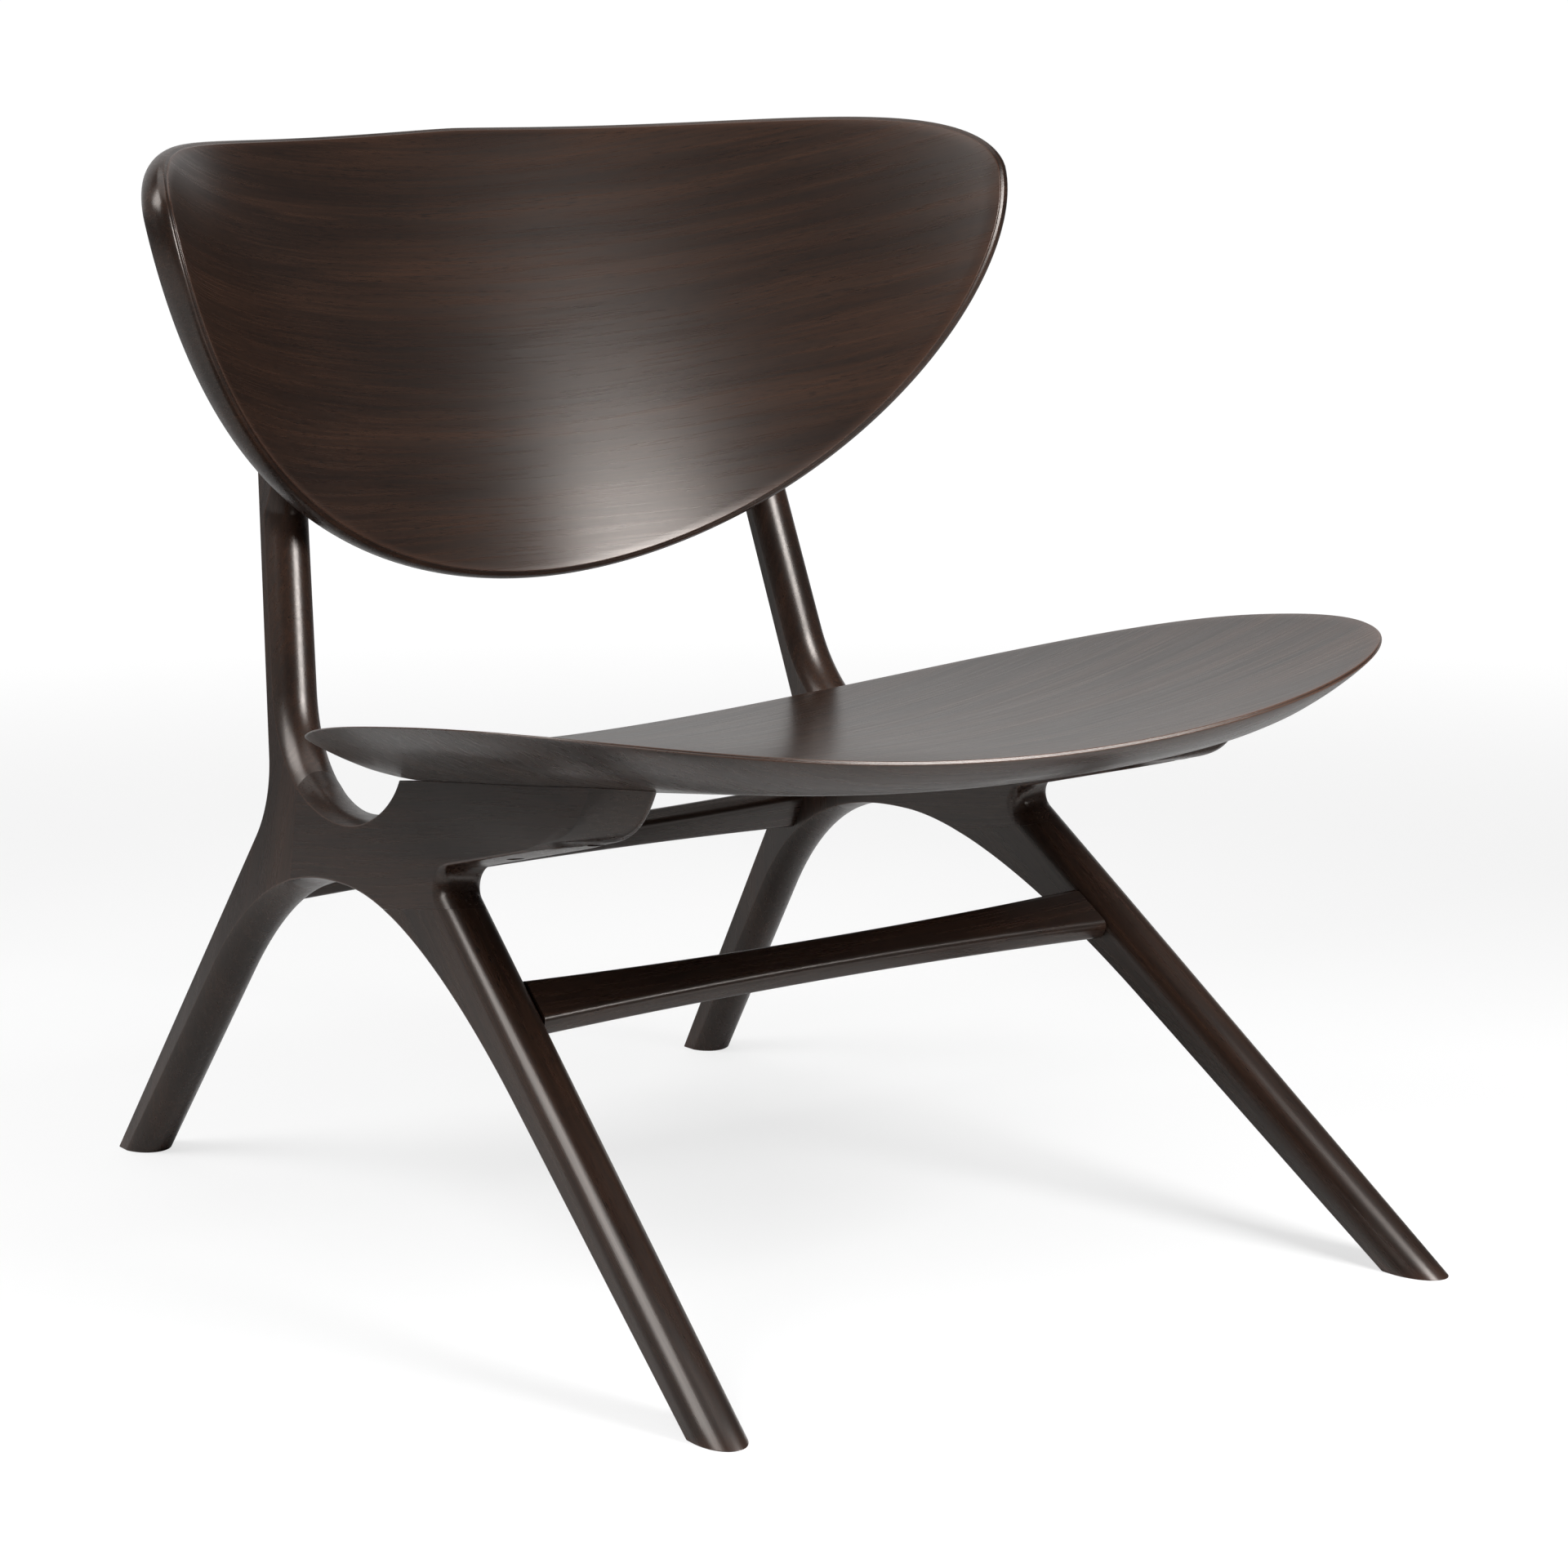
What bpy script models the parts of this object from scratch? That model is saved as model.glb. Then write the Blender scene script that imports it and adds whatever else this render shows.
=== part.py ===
"""Lounge chair: two planked side frames, two cross members, a dished seat and a curved back."""
import math

import bmesh
import bpy
import numpy as np
from mathutils import Matrix, Vector

OBJECT_NAME = "lounge_chair"

# Fits shared by every joint
JOINT_GAP = 0.0003
HOLE_GAP = 0.0003

# Side frame: the plane it lies in
FRAME_THICK = 0.034
FRAME_STANCE = 0.264
FRAME_LEAN = 0.113
FRAME_TOE = 0.0443
FOOT_SPARE = 0.005

# Side frame: how deep each edge is rounded
NOSE_POST = 0.012
NOSE_REAR_LEG = 0.0125
ROUND_FRONT_LEG_FOOT = 0.0165
ROUND_FRONT_LEG_TOP = 0.007
NOSE_HOLLOW = 0.0085
NOSE_PLAIN = 0.001
NOSE_BACK = 0.002

# Rear leg and post, one bent piece: (toward the back, up the plane)
HEEL = (0.3890, 0.0)
BACK_BEND = (0.2020, 0.2820)
BACK_BEND_RADIUS = 0.069
POST_BACK = (0.2595, 0.5058)
POST_TOP = (0.3060, 0.6350)
POST_FRONT_LOW = (0.1982, 0.3600)
POST_FRONT_HIGH = (0.2300, 0.4742)
POST_TOP_DEPTH = 0.050
POST_FLARE = (-0.004, 0.030)
REAR_LEG_HIGH = (0.2550, 0.1485)
REAR_LEG_TOE = (0.3590, 0.0)

# Arch under the hub and the hollow behind the seat
ARCH_TOP = (0.0850, 0.2440)
ARCH_FRONT_PULL = 0.065
ARCH_REAR_PULL = 0.060
ARCH_LEG_PULL = 0.100
ARCH_REAR_LEG_PULL = 0.090
HOLLOW_LOW = (0.1040, 0.2916)
HOLLOW_FRONT_PULL = 0.038
HOLLOW_REAR_PULL = 0.046
HOLLOW_POST_PULL = 0.046
HOLLOW_START_PULL = 0.020

# Seat rail
RAIL_BACK = (0.0277, 0.3251)
RAIL_TIP = (-0.2545, 0.3720)
RAIL_UNDER = (-0.2080, 0.3251)
RAIL_TIP_SLOPE = (0.28, -0.96)
RAIL_TIP_PULL = 0.030
RAIL_UNDER_PULL = 0.026
RAIL_BOW_LENGTH = 0.052
RAIL_LIP = 0.0030
NOTCH = (-0.0203, 0.2746)
NOTCH_RADIUS = 0.010

# Front leg
FRONT_LEG_LOW = (-0.1500, 0.1480)
FRONT_SOLE_BACK = (-0.3706, 0.0)
FRONT_SOLE_TIP = (-0.4084, 0.0)

# Glue lines inside a side frame
RAIL_SEAM = 0.1638
LEG_SEAM = (-0.0190, 0.2488)
LEG_SEAM_SLOPE = -0.187

# Seat shell
SEAT_CENTRE = (-0.0594, 0.3340)
SEAT_TILT = 0.1337
SEAT_BEND_RADIUS = 1.258
SEAT_HALF_WIDTH = 0.3669
SEAT_FRONT = 0.3241
SEAT_BACK = 0.2542
SEAT_FRONT_POWER = 2.19
SEAT_BACK_POWER = 2.29
SEAT_SWEEP = -0.69
SEAT_DISH = 0.043
SEAT_THICK = 0.0165
SEAT_THICK_TAPER = -0.006
SEAT_FLANK_GROWTH = 0.110
SEAT_TIP_THICK = 0.0030
SEAT_TIP_SLOPE = 0.185
SEAT_BEVEL_SPREAD = 1.1

# Backrest shell
BACK_CENTRE = (0.2746, 0.5691)
BACK_LEAN = 0.3764
BACK_BEND_ACROSS = 0.4166
BACK_HALF_WIDTH = 0.3953
BACK_UPPER = 0.1634
BACK_LOWER = 0.1622
BACK_UPPER_POWER = 1.656
BACK_LOWER_POWER = 1.943
BACK_SWEEP = 0.4128
BACK_THICK = 0.021

# Front stretcher and rear cross rail
STRETCHER_END_WIDTH = 0.038
STRETCHER_MID_WIDTH = 0.0275
CROSS_RAIL_END_WIDTH = 0.034
CROSS_RAIL_MID_WIDTH = 0.023
BAR_THICK = 0.0170
BAR_CORNER = 0.0038
TENON_WIDTH = 0.020
TENON_THICK = 0.0095
TENON_LENGTH = 0.015
STRETCHER_SEAT = (-0.1041, 0.2003)
CROSS_RAIL_SEAT = (0.2185, 0.2254)

# Dowels
RAIL_DOWEL_RADIUS = 0.005
RAIL_DOWEL_LENGTH = 0.042
RAIL_DOWEL_LEVELS = (0.2800, 0.2540)
LEG_DOWEL_RADIUS = 0.004
LEG_DOWEL_LENGTH = 0.024
LEG_DOWEL_PLACES = (-0.0240, -0.0060)

# Bolts and threaded inserts
BOLT_RADIUS = 0.003
BOLT_HEAD_RADIUS = 0.0055
BOLT_HEAD_HEIGHT = 0.0035
BOLT_SOCKET_RADIUS = 0.0023
BOLT_SOCKET_DEPTH = 0.002
SEAT_BOLT_REACH = 0.011
SEAT_BOLT_GRIP = 0.027
BACK_BOLT_REACH = 0.012
BACK_BOLT_GRIP = 0.013
INSERT_RADIUS = 0.005
INSERT_LENGTH = 0.011
INSERT_FLANGE = 0.0008
SEAT_INSERT_SINK = 0.0015
BACK_INSERT_SINK = 0.0048
SEAT_BOLT_PLACES = (-0.1850, -0.0900)
BACK_BOLT_LEVELS = (0.5920, 0.5350)

# Roundness of the model
NOSE_LEVELS = (-1.0, -0.86, -0.5, 0.0, 0.5, 0.86, 1.0)
SHELL_STEPS = 60
SHELL_RINGS = (0.22, 0.44, 0.64, 0.82, 0.94)
ROD_STEPS = 12

# Finishes
WOOD_COLOUR = (0.056, 0.040, 0.034, 1.0)
PIN_COLOUR = (0.420, 0.270, 0.150, 1.0)
STEEL_COLOUR = (0.130, 0.130, 0.135, 1.0)
BRASS_COLOUR = (0.560, 0.390, 0.160, 1.0)


def collection(name):
    made = bpy.data.collections.new(name)
    bpy.context.scene.collection.children.link(made)
    return made


def finish(name, colour, roughness, metallic):
    made = bpy.data.materials.new(name)
    made.use_nodes = True
    shader = made.node_tree.nodes["Principled BSDF"]
    shader.inputs["Base Color"].default_value = colour
    shader.inputs["Roughness"].default_value = roughness
    shader.inputs["Metallic"].default_value = metallic
    return made


def clear_scene():
    for old in list(bpy.data.objects):
        bpy.data.objects.remove(old, do_unlink=True)


clear_scene()
PARTS = collection(OBJECT_NAME)
CUTTERS = collection(OBJECT_NAME + "_cutters")
WOOD = finish("stained_mahogany", WOOD_COLOUR, 0.34, 0.0)
PIN = finish("beech_dowel", PIN_COLOUR, 0.65, 0.0)
STEEL = finish("blackened_steel", STEEL_COLOUR, 0.38, 1.0)
BRASS = finish("insert_brass", BRASS_COLOUR, 0.32, 1.0)


def add_object(name, mesh, where, material=None):
    made = bpy.data.objects.new(name, mesh)
    where.objects.link(made)
    if material is not None:
        mesh.materials.append(material)
    return made


def add_part(name, mesh, material):
    return add_object(name, mesh, PARTS, material)


def cut_with(part, name, mesh):
    cutter = add_object(name, mesh, CUTTERS)
    cutter.hide_render = True
    cutter.display_type = "WIRE"
    step = part.modifiers.new(name, "BOOLEAN")
    step.operation = "DIFFERENCE"
    step.solver = "EXACT"
    step.object = cutter
    return cutter


def mesh_from(name, points, faces):
    made = bpy.data.meshes.new(name)
    made.from_pydata([tuple(p) for p in points], [], [tuple(f) for f in faces])
    work = bmesh.new()
    work.from_mesh(made)
    bmesh.ops.recalc_face_normals(work, faces=work.faces)
    work.to_mesh(made)
    work.free()
    return made


def loft(name, rings, poles=None):
    """Skin a row of closed rings that share one point count; the ends are capped flat or drawn to poles."""
    count = len(rings[0])
    points = [p for ring in rings for p in ring] + list(poles or ())
    faces = []
    for row in range(len(rings) - 1):
        for k in range(count):
            after = (k + 1) % count
            low = row * count
            faces.append((low + k, low + after, low + count + after))
            faces.append((low + k, low + count + after, low + count + k))
    last = (len(rings) - 1) * count
    if poles is None:
        faces.append(tuple(range(count))[::-1])
        faces.append(tuple(last + k for k in range(count)))
    else:
        pole = last + count
        for k in range(count):
            after = (k + 1) % count
            faces.append((pole, after, k))
            faces.append((pole + 1, last + k, last + after))
    return mesh_from(name, points, faces)


# Directions of the left frame; the right frame is its mirror image
OUTWARD = Vector((-1.0, FRAME_TOE, FRAME_LEAN)).normalized()
ALONG = Vector((FRAME_TOE, 1.0, 0.0)).normalized()
UPWARD = ALONG.cross(OUTWARD).normalized()
UPWARD = UPWARD if UPWARD.z > 0 else -UPWARD
HALF_THICK = 0.5 * FRAME_THICK
LEFT = -1
RIGHT = 1
SIDE_NAMES = {LEFT: "left", RIGHT: "right"}


def frame_direction(side, along, up, out=0.0):
    made = float(along) * ALONG + float(up) * UPWARD + float(out) * OUTWARD
    return Vector((-side * made.x, made.y, made.z))


def frame_point(side, along, up, out=0.0):
    made = Vector((-FRAME_STANCE, 0.0, 0.0)) + frame_direction(LEFT, along, up, out)
    return Vector((-side * made.x, made.y, made.z))


def plane_x(out, y, z):
    """Half spacing, at a depth and a height, of the two planes that lie 'out' from the frame middles."""
    base = Vector((-FRAME_STANCE, 0.0, 0.0))
    return -(base.x + (out - OUTWARD.y * y - OUTWARD.z * z) / OUTWARD.x)


def unit(vector):
    return vector / np.linalg.norm(vector)


def smooth(t):
    return t * t * (3.0 - 2.0 * t)


def bezier(curve, t):
    p0, p1, p2, p3 = [np.asarray(p, float) for p in curve]
    t = np.asarray(t, float)[:, None]
    s = 1.0 - t
    return s**3 * p0 + 3 * s * s * t * p1 + 3 * s * t * t * p2 + t**3 * p3


def crossing(curve, point, normal):
    """Place along a curve where it meets a straight glue line."""
    low, high = 0.0, 1.0
    side_low = (bezier(curve, [low])[0] - point) @ normal
    for _ in range(50):
        middle = 0.5 * (low + high)
        side_middle = (bezier(curve, [middle])[0] - point) @ normal
        if side_middle * side_low > 0:
            low = middle
        else:
            high = middle
    return 0.5 * (low + high)


def edge_pairs(rises, rounds=0.0):
    """Pairs of an arc's rise and a round-over's radius, one for each point of a run."""
    rises = np.asarray(rises, float)
    return np.stack([rises, np.broadcast_to(np.asarray(rounds, float), rises.shape)], 1)


def curve_run(curve, start, end, count, rise_start, rise_end):
    """Stretch of a curve and how deep its edge is rounded; the rounding eases between its end values."""
    t = np.linspace(start, end, count)
    return bezier(curve, t), edge_pairs(rise_start + (rise_end - rise_start) * smooth(t))


def line_run(points, rises, rounds=0.0):
    return np.asarray(points, float), edge_pairs(rises, rounds)


def corner_arc(before, corner, after, radius, count):
    """Round a corner of an outline with an arc."""
    before, corner, after = [np.asarray(p, float) for p in (before, corner, after)]
    to_before = unit(before - corner)
    to_after = unit(after - corner)
    half = 0.5 * math.acos(float(to_before @ to_after))
    centre = corner + unit(to_before + to_after) * radius / math.sin(half)
    first = corner + to_before * radius / math.tan(half) - centre
    last = corner + to_after * radius / math.tan(half) - centre
    start = math.atan2(first[1], first[0])
    sweep = math.atan2(first[0] * last[1] - first[1] * last[0], float(first @ last))
    angle = start + sweep * np.linspace(0.0, 1.0, count)
    return centre + radius * np.stack([np.cos(angle), np.sin(angle)], 1)


def join_runs(runs):
    """Chain runs into one closed outline, keeping the rounding that arrives at and leaves each point."""
    points, arriving, leaving = [], [], []
    for run_points, run_rises in runs:
        for k in range(len(run_points)):
            point = run_points[k]
            if points and np.linalg.norm(points[-1] - point) < 1e-6:
                leaving[-1] = run_rises[k]
                continue
            points.append(point)
            arriving.append(run_rises[k])
            leaving.append(run_rises[k])
    if np.linalg.norm(points[0] - points[-1]) < 1e-6:
        arriving[0] = arriving[-1]
        points.pop()
        arriving.pop()
        leaving.pop()
    return np.array(points), np.array(arriving), np.array(leaving)


def nose_depth(edge, level):
    """Set-back of an edge at a share of the half thickness: an arc of some rise, then a round-over."""
    rise, round_over = edge
    out = abs(level) * HALF_THICK
    depth = 0.0
    if rise > 1e-6:
        radius = (HALF_THICK**2 + rise**2) / (2.0 * rise)
        depth = radius - math.sqrt(radius**2 - out**2)
    past = out - (HALF_THICK - round_over)
    if past > 0.0:
        depth += round_over - math.sqrt(max(round_over**2 - past**2, 0.0))
    return depth


def inset_outline(points, arriving, leaving, level):
    """Move every edge of an outline inward by its own set-back at one level of the thickness."""
    before = np.roll(points, 1, 0)
    after = np.roll(points, -1, 0)
    moved = []
    for k in range(len(points)):
        into = unit(points[k] - before[k])
        away = unit(after[k] - points[k])
        normal_in = np.array((-into[1], into[0]))
        normal_out = np.array((-away[1], away[0]))
        first = nose_depth(arriving[k], level)
        second = nose_depth(leaving[k], level)
        likeness = float(normal_in @ normal_out)
        if likeness > 0.97:
            mean = 0.5 * (first + second)
            moved.append(points[k] + mean * (normal_in + normal_out) / (1.0 + likeness))
        else:
            moved.append(points[k] + np.linalg.solve([normal_in, normal_out], [first, second]))
    return np.array(moved)


def plank(name, side, runs):
    """Shape one plank of a side frame: a flat outline whose edges are rounded by varying amounts."""
    points, arriving, leaving = join_runs(runs)
    rings = []
    for level in NOSE_LEVELS:
        flat = inset_outline(points, arriving, leaving, level)
        rings.append([frame_point(side, a, b, level * HALF_THICK) for a, b in flat])
    return loft(name, rings)


# Curves shared by neighbouring planks of a side frame
def toward(point, target, distance):
    point, target = np.asarray(point, float), np.asarray(target, float)
    return point + unit(target - point) * distance


def ahead(point, along, up):
    return np.asarray(point, float) + np.array((along, up))


def floor_end(high, low):
    """Run a leg edge on past the floor, so that the sole can be cut level."""
    high, low = np.asarray(high, float), np.asarray(low, float)
    return low + (low - high) * FOOT_SPARE / (high[1] - low[1])


HOLLOW_FRONT = (
    RAIL_BACK,
    toward(RAIL_BACK, ahead(HOLLOW_LOW, -HOLLOW_FRONT_PULL * 1.7, 0.0), HOLLOW_START_PULL),
    ahead(HOLLOW_LOW, -HOLLOW_FRONT_PULL, 0.0),
    HOLLOW_LOW,
)
HOLLOW_REAR = (
    HOLLOW_LOW,
    ahead(HOLLOW_LOW, HOLLOW_REAR_PULL, 0.0),
    toward(POST_FRONT_LOW, POST_FRONT_HIGH, -HOLLOW_POST_PULL),
    POST_FRONT_LOW,
)
ARCH_FRONT = (
    FRONT_LEG_LOW,
    toward(FRONT_LEG_LOW, FRONT_SOLE_BACK, -ARCH_LEG_PULL),
    ahead(ARCH_TOP, -ARCH_FRONT_PULL, 0.0),
    ARCH_TOP,
)
ARCH_REAR = (
    ARCH_TOP,
    ahead(ARCH_TOP, ARCH_REAR_PULL, 0.0),
    toward(REAR_LEG_HIGH, REAR_LEG_TOE, -ARCH_REAR_LEG_PULL),
    REAR_LEG_HIGH,
)
TIP_CURVE = (
    RAIL_TIP,
    toward(RAIL_TIP, ahead(RAIL_TIP, *RAIL_TIP_SLOPE), RAIL_TIP_PULL),
    toward(RAIL_UNDER, NOTCH, -RAIL_UNDER_PULL),
    RAIL_UNDER,
)
RAIL_SEAM_POINT = np.array((RAIL_SEAM, 0.0))
RAIL_SEAM_NORMAL = np.array((1.0, 0.0))
LEG_SEAM_DIRECTION = unit(np.array((1.0, LEG_SEAM_SLOPE)))
LEG_SEAM_NORMAL = np.array((-LEG_SEAM_DIRECTION[1], LEG_SEAM_DIRECTION[0]))
LEG_SEAM_POINT = np.array(LEG_SEAM)


def leg_front_edge(height_above_seam):
    """Point where the front edge of the front leg meets a line parallel to its glue line."""
    tip = np.array(FRONT_SOLE_TIP)
    slope = unit(np.array(NOTCH) - tip)
    base = LEG_SEAM_POINT + LEG_SEAM_NORMAL * height_above_seam
    share = ((base - tip) @ LEG_SEAM_NORMAL) / (slope @ LEG_SEAM_NORMAL)
    return tip + slope * share


def front_leg_round(points):
    """Round-over of the front leg's front edge, growing from the notch down to the foot."""
    tip = np.array(FRONT_SOLE_TIP)
    share = np.linalg.norm(np.asarray(points) - tip, axis=-1) / np.linalg.norm(np.array(NOTCH) - tip)
    return ROUND_FRONT_LEG_FOOT + (ROUND_FRONT_LEG_TOP - ROUND_FRONT_LEG_FOOT) * np.minimum(share, 1.0)


def rear_leg_outline():
    half_gap = 0.5 * JOINT_GAP
    seam = RAIL_SEAM_POINT + half_gap * RAIL_SEAM_NORMAL
    hollow_t = crossing(HOLLOW_REAR, seam, RAIL_SEAM_NORMAL)
    arch_t = crossing(ARCH_REAR, seam, RAIL_SEAM_NORMAL)
    toe = floor_end(REAR_LEG_HIGH, REAR_LEG_TOE)
    heel = floor_end(BACK_BEND, HEEL)
    bend = corner_arc(HEEL, BACK_BEND, POST_BACK, BACK_BEND_RADIUS, 9)
    top_back = np.array(POST_TOP)
    lean = unit(top_back - np.array(POST_BACK))
    across = np.array((-lean[1], lean[0]))
    top_front = top_back + across * POST_TOP_DEPTH
    upper_back = (POST_BACK, toward(POST_BACK, BACK_BEND, -0.05), top_back - lean * 0.045, top_back)
    upper_front = (top_front, top_front - lean * 0.07,
                   ahead(POST_FRONT_HIGH, *POST_FLARE), POST_FRONT_HIGH)
    steps = np.linspace(0.0, 1.0, 7)
    hollow = curve_run(HOLLOW_REAR, 1.0, hollow_t, 11, NOSE_HOLLOW, NOSE_POST)
    arch = curve_run(ARCH_REAR, arch_t, 1.0, 10, NOSE_PLAIN, NOSE_REAR_LEG)
    return [
        line_run((toe, heel), (0.0, 0.0)),
        line_run((heel, bend[0]), (NOSE_BACK, NOSE_BACK)),
        line_run(bend, np.full(len(bend), NOSE_BACK)),
        line_run((bend[-1], POST_BACK), (NOSE_BACK, NOSE_BACK)),
        curve_run(upper_back, 0.0, 1.0, 5, NOSE_BACK, NOSE_BACK),
        line_run((top_back, top_front), (NOSE_BACK, NOSE_BACK)),
        line_run(bezier(upper_front, steps), NOSE_PLAIN + (NOSE_POST - NOSE_PLAIN) * steps**4),
        line_run((POST_FRONT_HIGH, POST_FRONT_LOW), (NOSE_POST, NOSE_POST)),
        hollow,
        line_run((hollow[0][-1], arch[0][0]), (0.0, 0.0)),
        arch,
        line_run((REAR_LEG_HIGH, toe), (NOSE_REAR_LEG, NOSE_REAR_LEG)),
    ]


def seat_rail_outline():
    half_gap = 0.5 * JOINT_GAP
    seam = RAIL_SEAM_POINT - half_gap * RAIL_SEAM_NORMAL
    hollow_t = crossing(HOLLOW_REAR, seam, RAIL_SEAM_NORMAL)
    arch_t = crossing(ARCH_REAR, seam, RAIL_SEAM_NORMAL)
    leg_seam = LEG_SEAM_POINT + half_gap * LEG_SEAM_NORMAL
    leg_t = crossing(ARCH_FRONT, leg_seam, LEG_SEAM_NORMAL)
    seam_front = leg_front_edge(half_gap)
    notch = corner_arc(RAIL_UNDER, NOTCH, FRONT_SOLE_TIP, NOTCH_RADIUS, 7)
    notch_rises = np.full(len(notch), NOSE_PLAIN)
    notch_rounds = front_leg_round(notch[-1]) * smooth(np.linspace(0.0, 1.0, len(notch)))
    lower_rounds = front_leg_round(np.array((notch[-1], seam_front)))
    hollow_rear = curve_run(HOLLOW_REAR, hollow_t, 0.0, 9, NOSE_HOLLOW, NOSE_POST)
    arch_front = curve_run(ARCH_FRONT, leg_t, 1.0, 6, NOSE_PLAIN, NOSE_PLAIN)
    arch_rear = curve_run(ARCH_REAR, 0.0, arch_t, 7, NOSE_PLAIN, NOSE_REAR_LEG)
    return [
        curve_run(TIP_CURVE, 0.0, 1.0, 7, NOSE_PLAIN, NOSE_PLAIN),
        line_run((RAIL_UNDER, notch[0]), (NOSE_PLAIN, NOSE_PLAIN)),
        line_run(notch, notch_rises, notch_rounds),
        line_run((notch[-1], seam_front), (NOSE_PLAIN, NOSE_PLAIN), lower_rounds),
        line_run((seam_front, arch_front[0][0]), (0.0, 0.0)),
        arch_front,
        arch_rear,
        line_run((arch_rear[0][-1], hollow_rear[0][0]), (0.0, 0.0)),
        hollow_rear,
        curve_run(HOLLOW_FRONT, 1.0, 0.0, 10, 0.0, NOSE_HOLLOW),
        line_run((RAIL_BACK, RAIL_TIP), (0.0, 0.0)),
    ]


def front_leg_outline():
    half_gap = 0.5 * JOINT_GAP
    leg_seam = LEG_SEAM_POINT - half_gap * LEG_SEAM_NORMAL
    leg_t = crossing(ARCH_FRONT, leg_seam, LEG_SEAM_NORMAL)
    seam_front = leg_front_edge(-half_gap)
    tip = floor_end(NOTCH, FRONT_SOLE_TIP)
    back = floor_end(FRONT_LEG_LOW, FRONT_SOLE_BACK)
    front_edge = seam_front + np.linspace(0.0, 1.0, 4)[:, None] * (tip - seam_front)
    arch = curve_run(ARCH_FRONT, 0.0, leg_t, 10, NOSE_PLAIN, NOSE_PLAIN)
    return [
        line_run(front_edge, np.full(len(front_edge), NOSE_PLAIN), front_leg_round(front_edge)),
        line_run((tip, back), (0.0, 0.0)),
        line_run((back, FRONT_LEG_LOW), (NOSE_PLAIN, NOSE_PLAIN)),
        arch,
        line_run((arch[0][-1], seam_front), (0.0, 0.0)),
    ]


def tip_bow(name, side, face):
    """Wood taken off one face of a rail so that its tip thins to a lip, like the bow of a boat."""
    back = unit(np.array(RAIL_BACK) - np.array(RAIL_TIP))
    above = np.array(RAIL_TIP) - unit(np.array(RAIL_TIP_SLOPE)) * RAIL_LIP * 4.0
    below = np.array(RAIL_UNDER) + (back + np.array((0.0, -0.4))) * RAIL_BOW_LENGTH
    edge = np.concatenate([[above], bezier(TIP_CURVE, np.linspace(0.0, 1.0, 7)), [below]])
    lip = 0.5 * RAIL_LIP
    shares = np.array((-0.12, 0.0, 0.2, 0.42, 0.68, 1.0))
    rest = 1.0 - np.maximum(shares, 0.0)
    half = lip + (HALF_THICK + HOLE_GAP - lip) * (1.0 - rest**2)
    reach = np.concatenate([shares, shares[[-1, 0]]]) * RAIL_BOW_LENGTH
    out = np.concatenate([half, (2.0 * HALF_THICK, 2.0 * HALF_THICK)]) * face
    rings = []
    for point in edge:
        rings.append([frame_point(side, *(point + r * back), n) for r, n in zip(reach, out)])
    return loft(name, rings)


# Shells: an oval outline bent to a cylinder, with a crisp front edge and a rounded rim
def oval(half_width, upper, lower, upper_power, lower_power, sweep):
    """Outline of a shell laid flat; the two halves differ and the middle line sweeps in an arc."""
    angle = np.linspace(0.0, 2.0 * math.pi, SHELL_STEPS, endpoint=False)
    c, s = np.cos(angle), np.sin(angle)
    power = np.where(s >= 0.0, upper_power, lower_power)
    reach = np.where(s >= 0.0, upper, lower)
    across = half_width * np.sign(c) * np.abs(c)**(2.0 / power)
    up = reach * np.sign(s) * np.abs(s)**(2.0 / power) + sweep * across**2
    return np.stack([across, up], 1)


def outward_normals(outline):
    step = np.roll(outline, -1, 0) - np.roll(outline, 1, 0)
    normal = np.stack([step[:, 1], -step[:, 0]], 1)
    return normal / np.linalg.norm(normal, axis=1)[:, None]


def shell(name, outline, rim, widths, place, thick, grow=0.0, lift=0.0):
    """Close a shell: front face rings, the rim, back face rings, each point set by 'place'."""
    normals = outward_normals(outline)
    layers = [(outline * share, -lift) for share in SHELL_RINGS]
    for spread, depth in rim:
        layers.append((outline + normals * (spread * widths + grow)[:, None], depth))
    inner = layers[-1][0]
    layers += [(inner * share, 1.0) for share in SHELL_RINGS[::-1]]
    rings = []
    for flat, depth in layers:
        ring = []
        for across, along in flat:
            deep = -lift if depth < 0.0 else depth * thick(across, along) + grow * (depth > 0.0)
            ring.append(place(across, along, deep))
        rings.append(ring)
    poles = (place(0.0, 0.0, -lift), place(0.0, 0.0, thick(0.0, 0.0) + grow))
    return loft(name, rings, poles)


SEAT_RIM = ((0.0, 0.0), (0.0002, 0.10), (-0.0040, 0.32), (-0.0110, 0.57), (-0.0210, 0.82), (-0.0360, 1.0))
BACK_RIM = ((0.0, 0.0), (0.0022, 0.10), (0.0030, 0.32), (0.0008, 0.62), (-0.0045, 0.88), (-0.0120, 1.0))


def seat_place(across, along, depth):
    """Point of the seat: bent about a line above it, tilted down to the back."""
    turn = across / SEAT_BEND_RADIUS
    lift = SEAT_BEND_RADIUS - (SEAT_BEND_RADIUS + depth) * math.cos(turn) + SEAT_DISH * along**2
    x = (SEAT_BEND_RADIUS + depth) * math.sin(turn)
    y = SEAT_CENTRE[0] + math.cos(SEAT_TILT) * along + math.sin(SEAT_TILT) * lift
    z = SEAT_CENTRE[1] - math.sin(SEAT_TILT) * along + math.cos(SEAT_TILT) * lift
    return Vector((x, y, z))


def seat_thick(across, along):
    """Thickness of the seat: it grows toward the rails, then a long bevel thins it to the tips."""
    full = SEAT_THICK + SEAT_THICK_TAPER * along + SEAT_FLANK_GROWTH * across**2
    bevel = SEAT_TIP_THICK + SEAT_TIP_SLOPE * max(SEAT_HALF_WIDTH - abs(across), 0.0)
    return (full**-4 + bevel**-4)**-0.25


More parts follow.
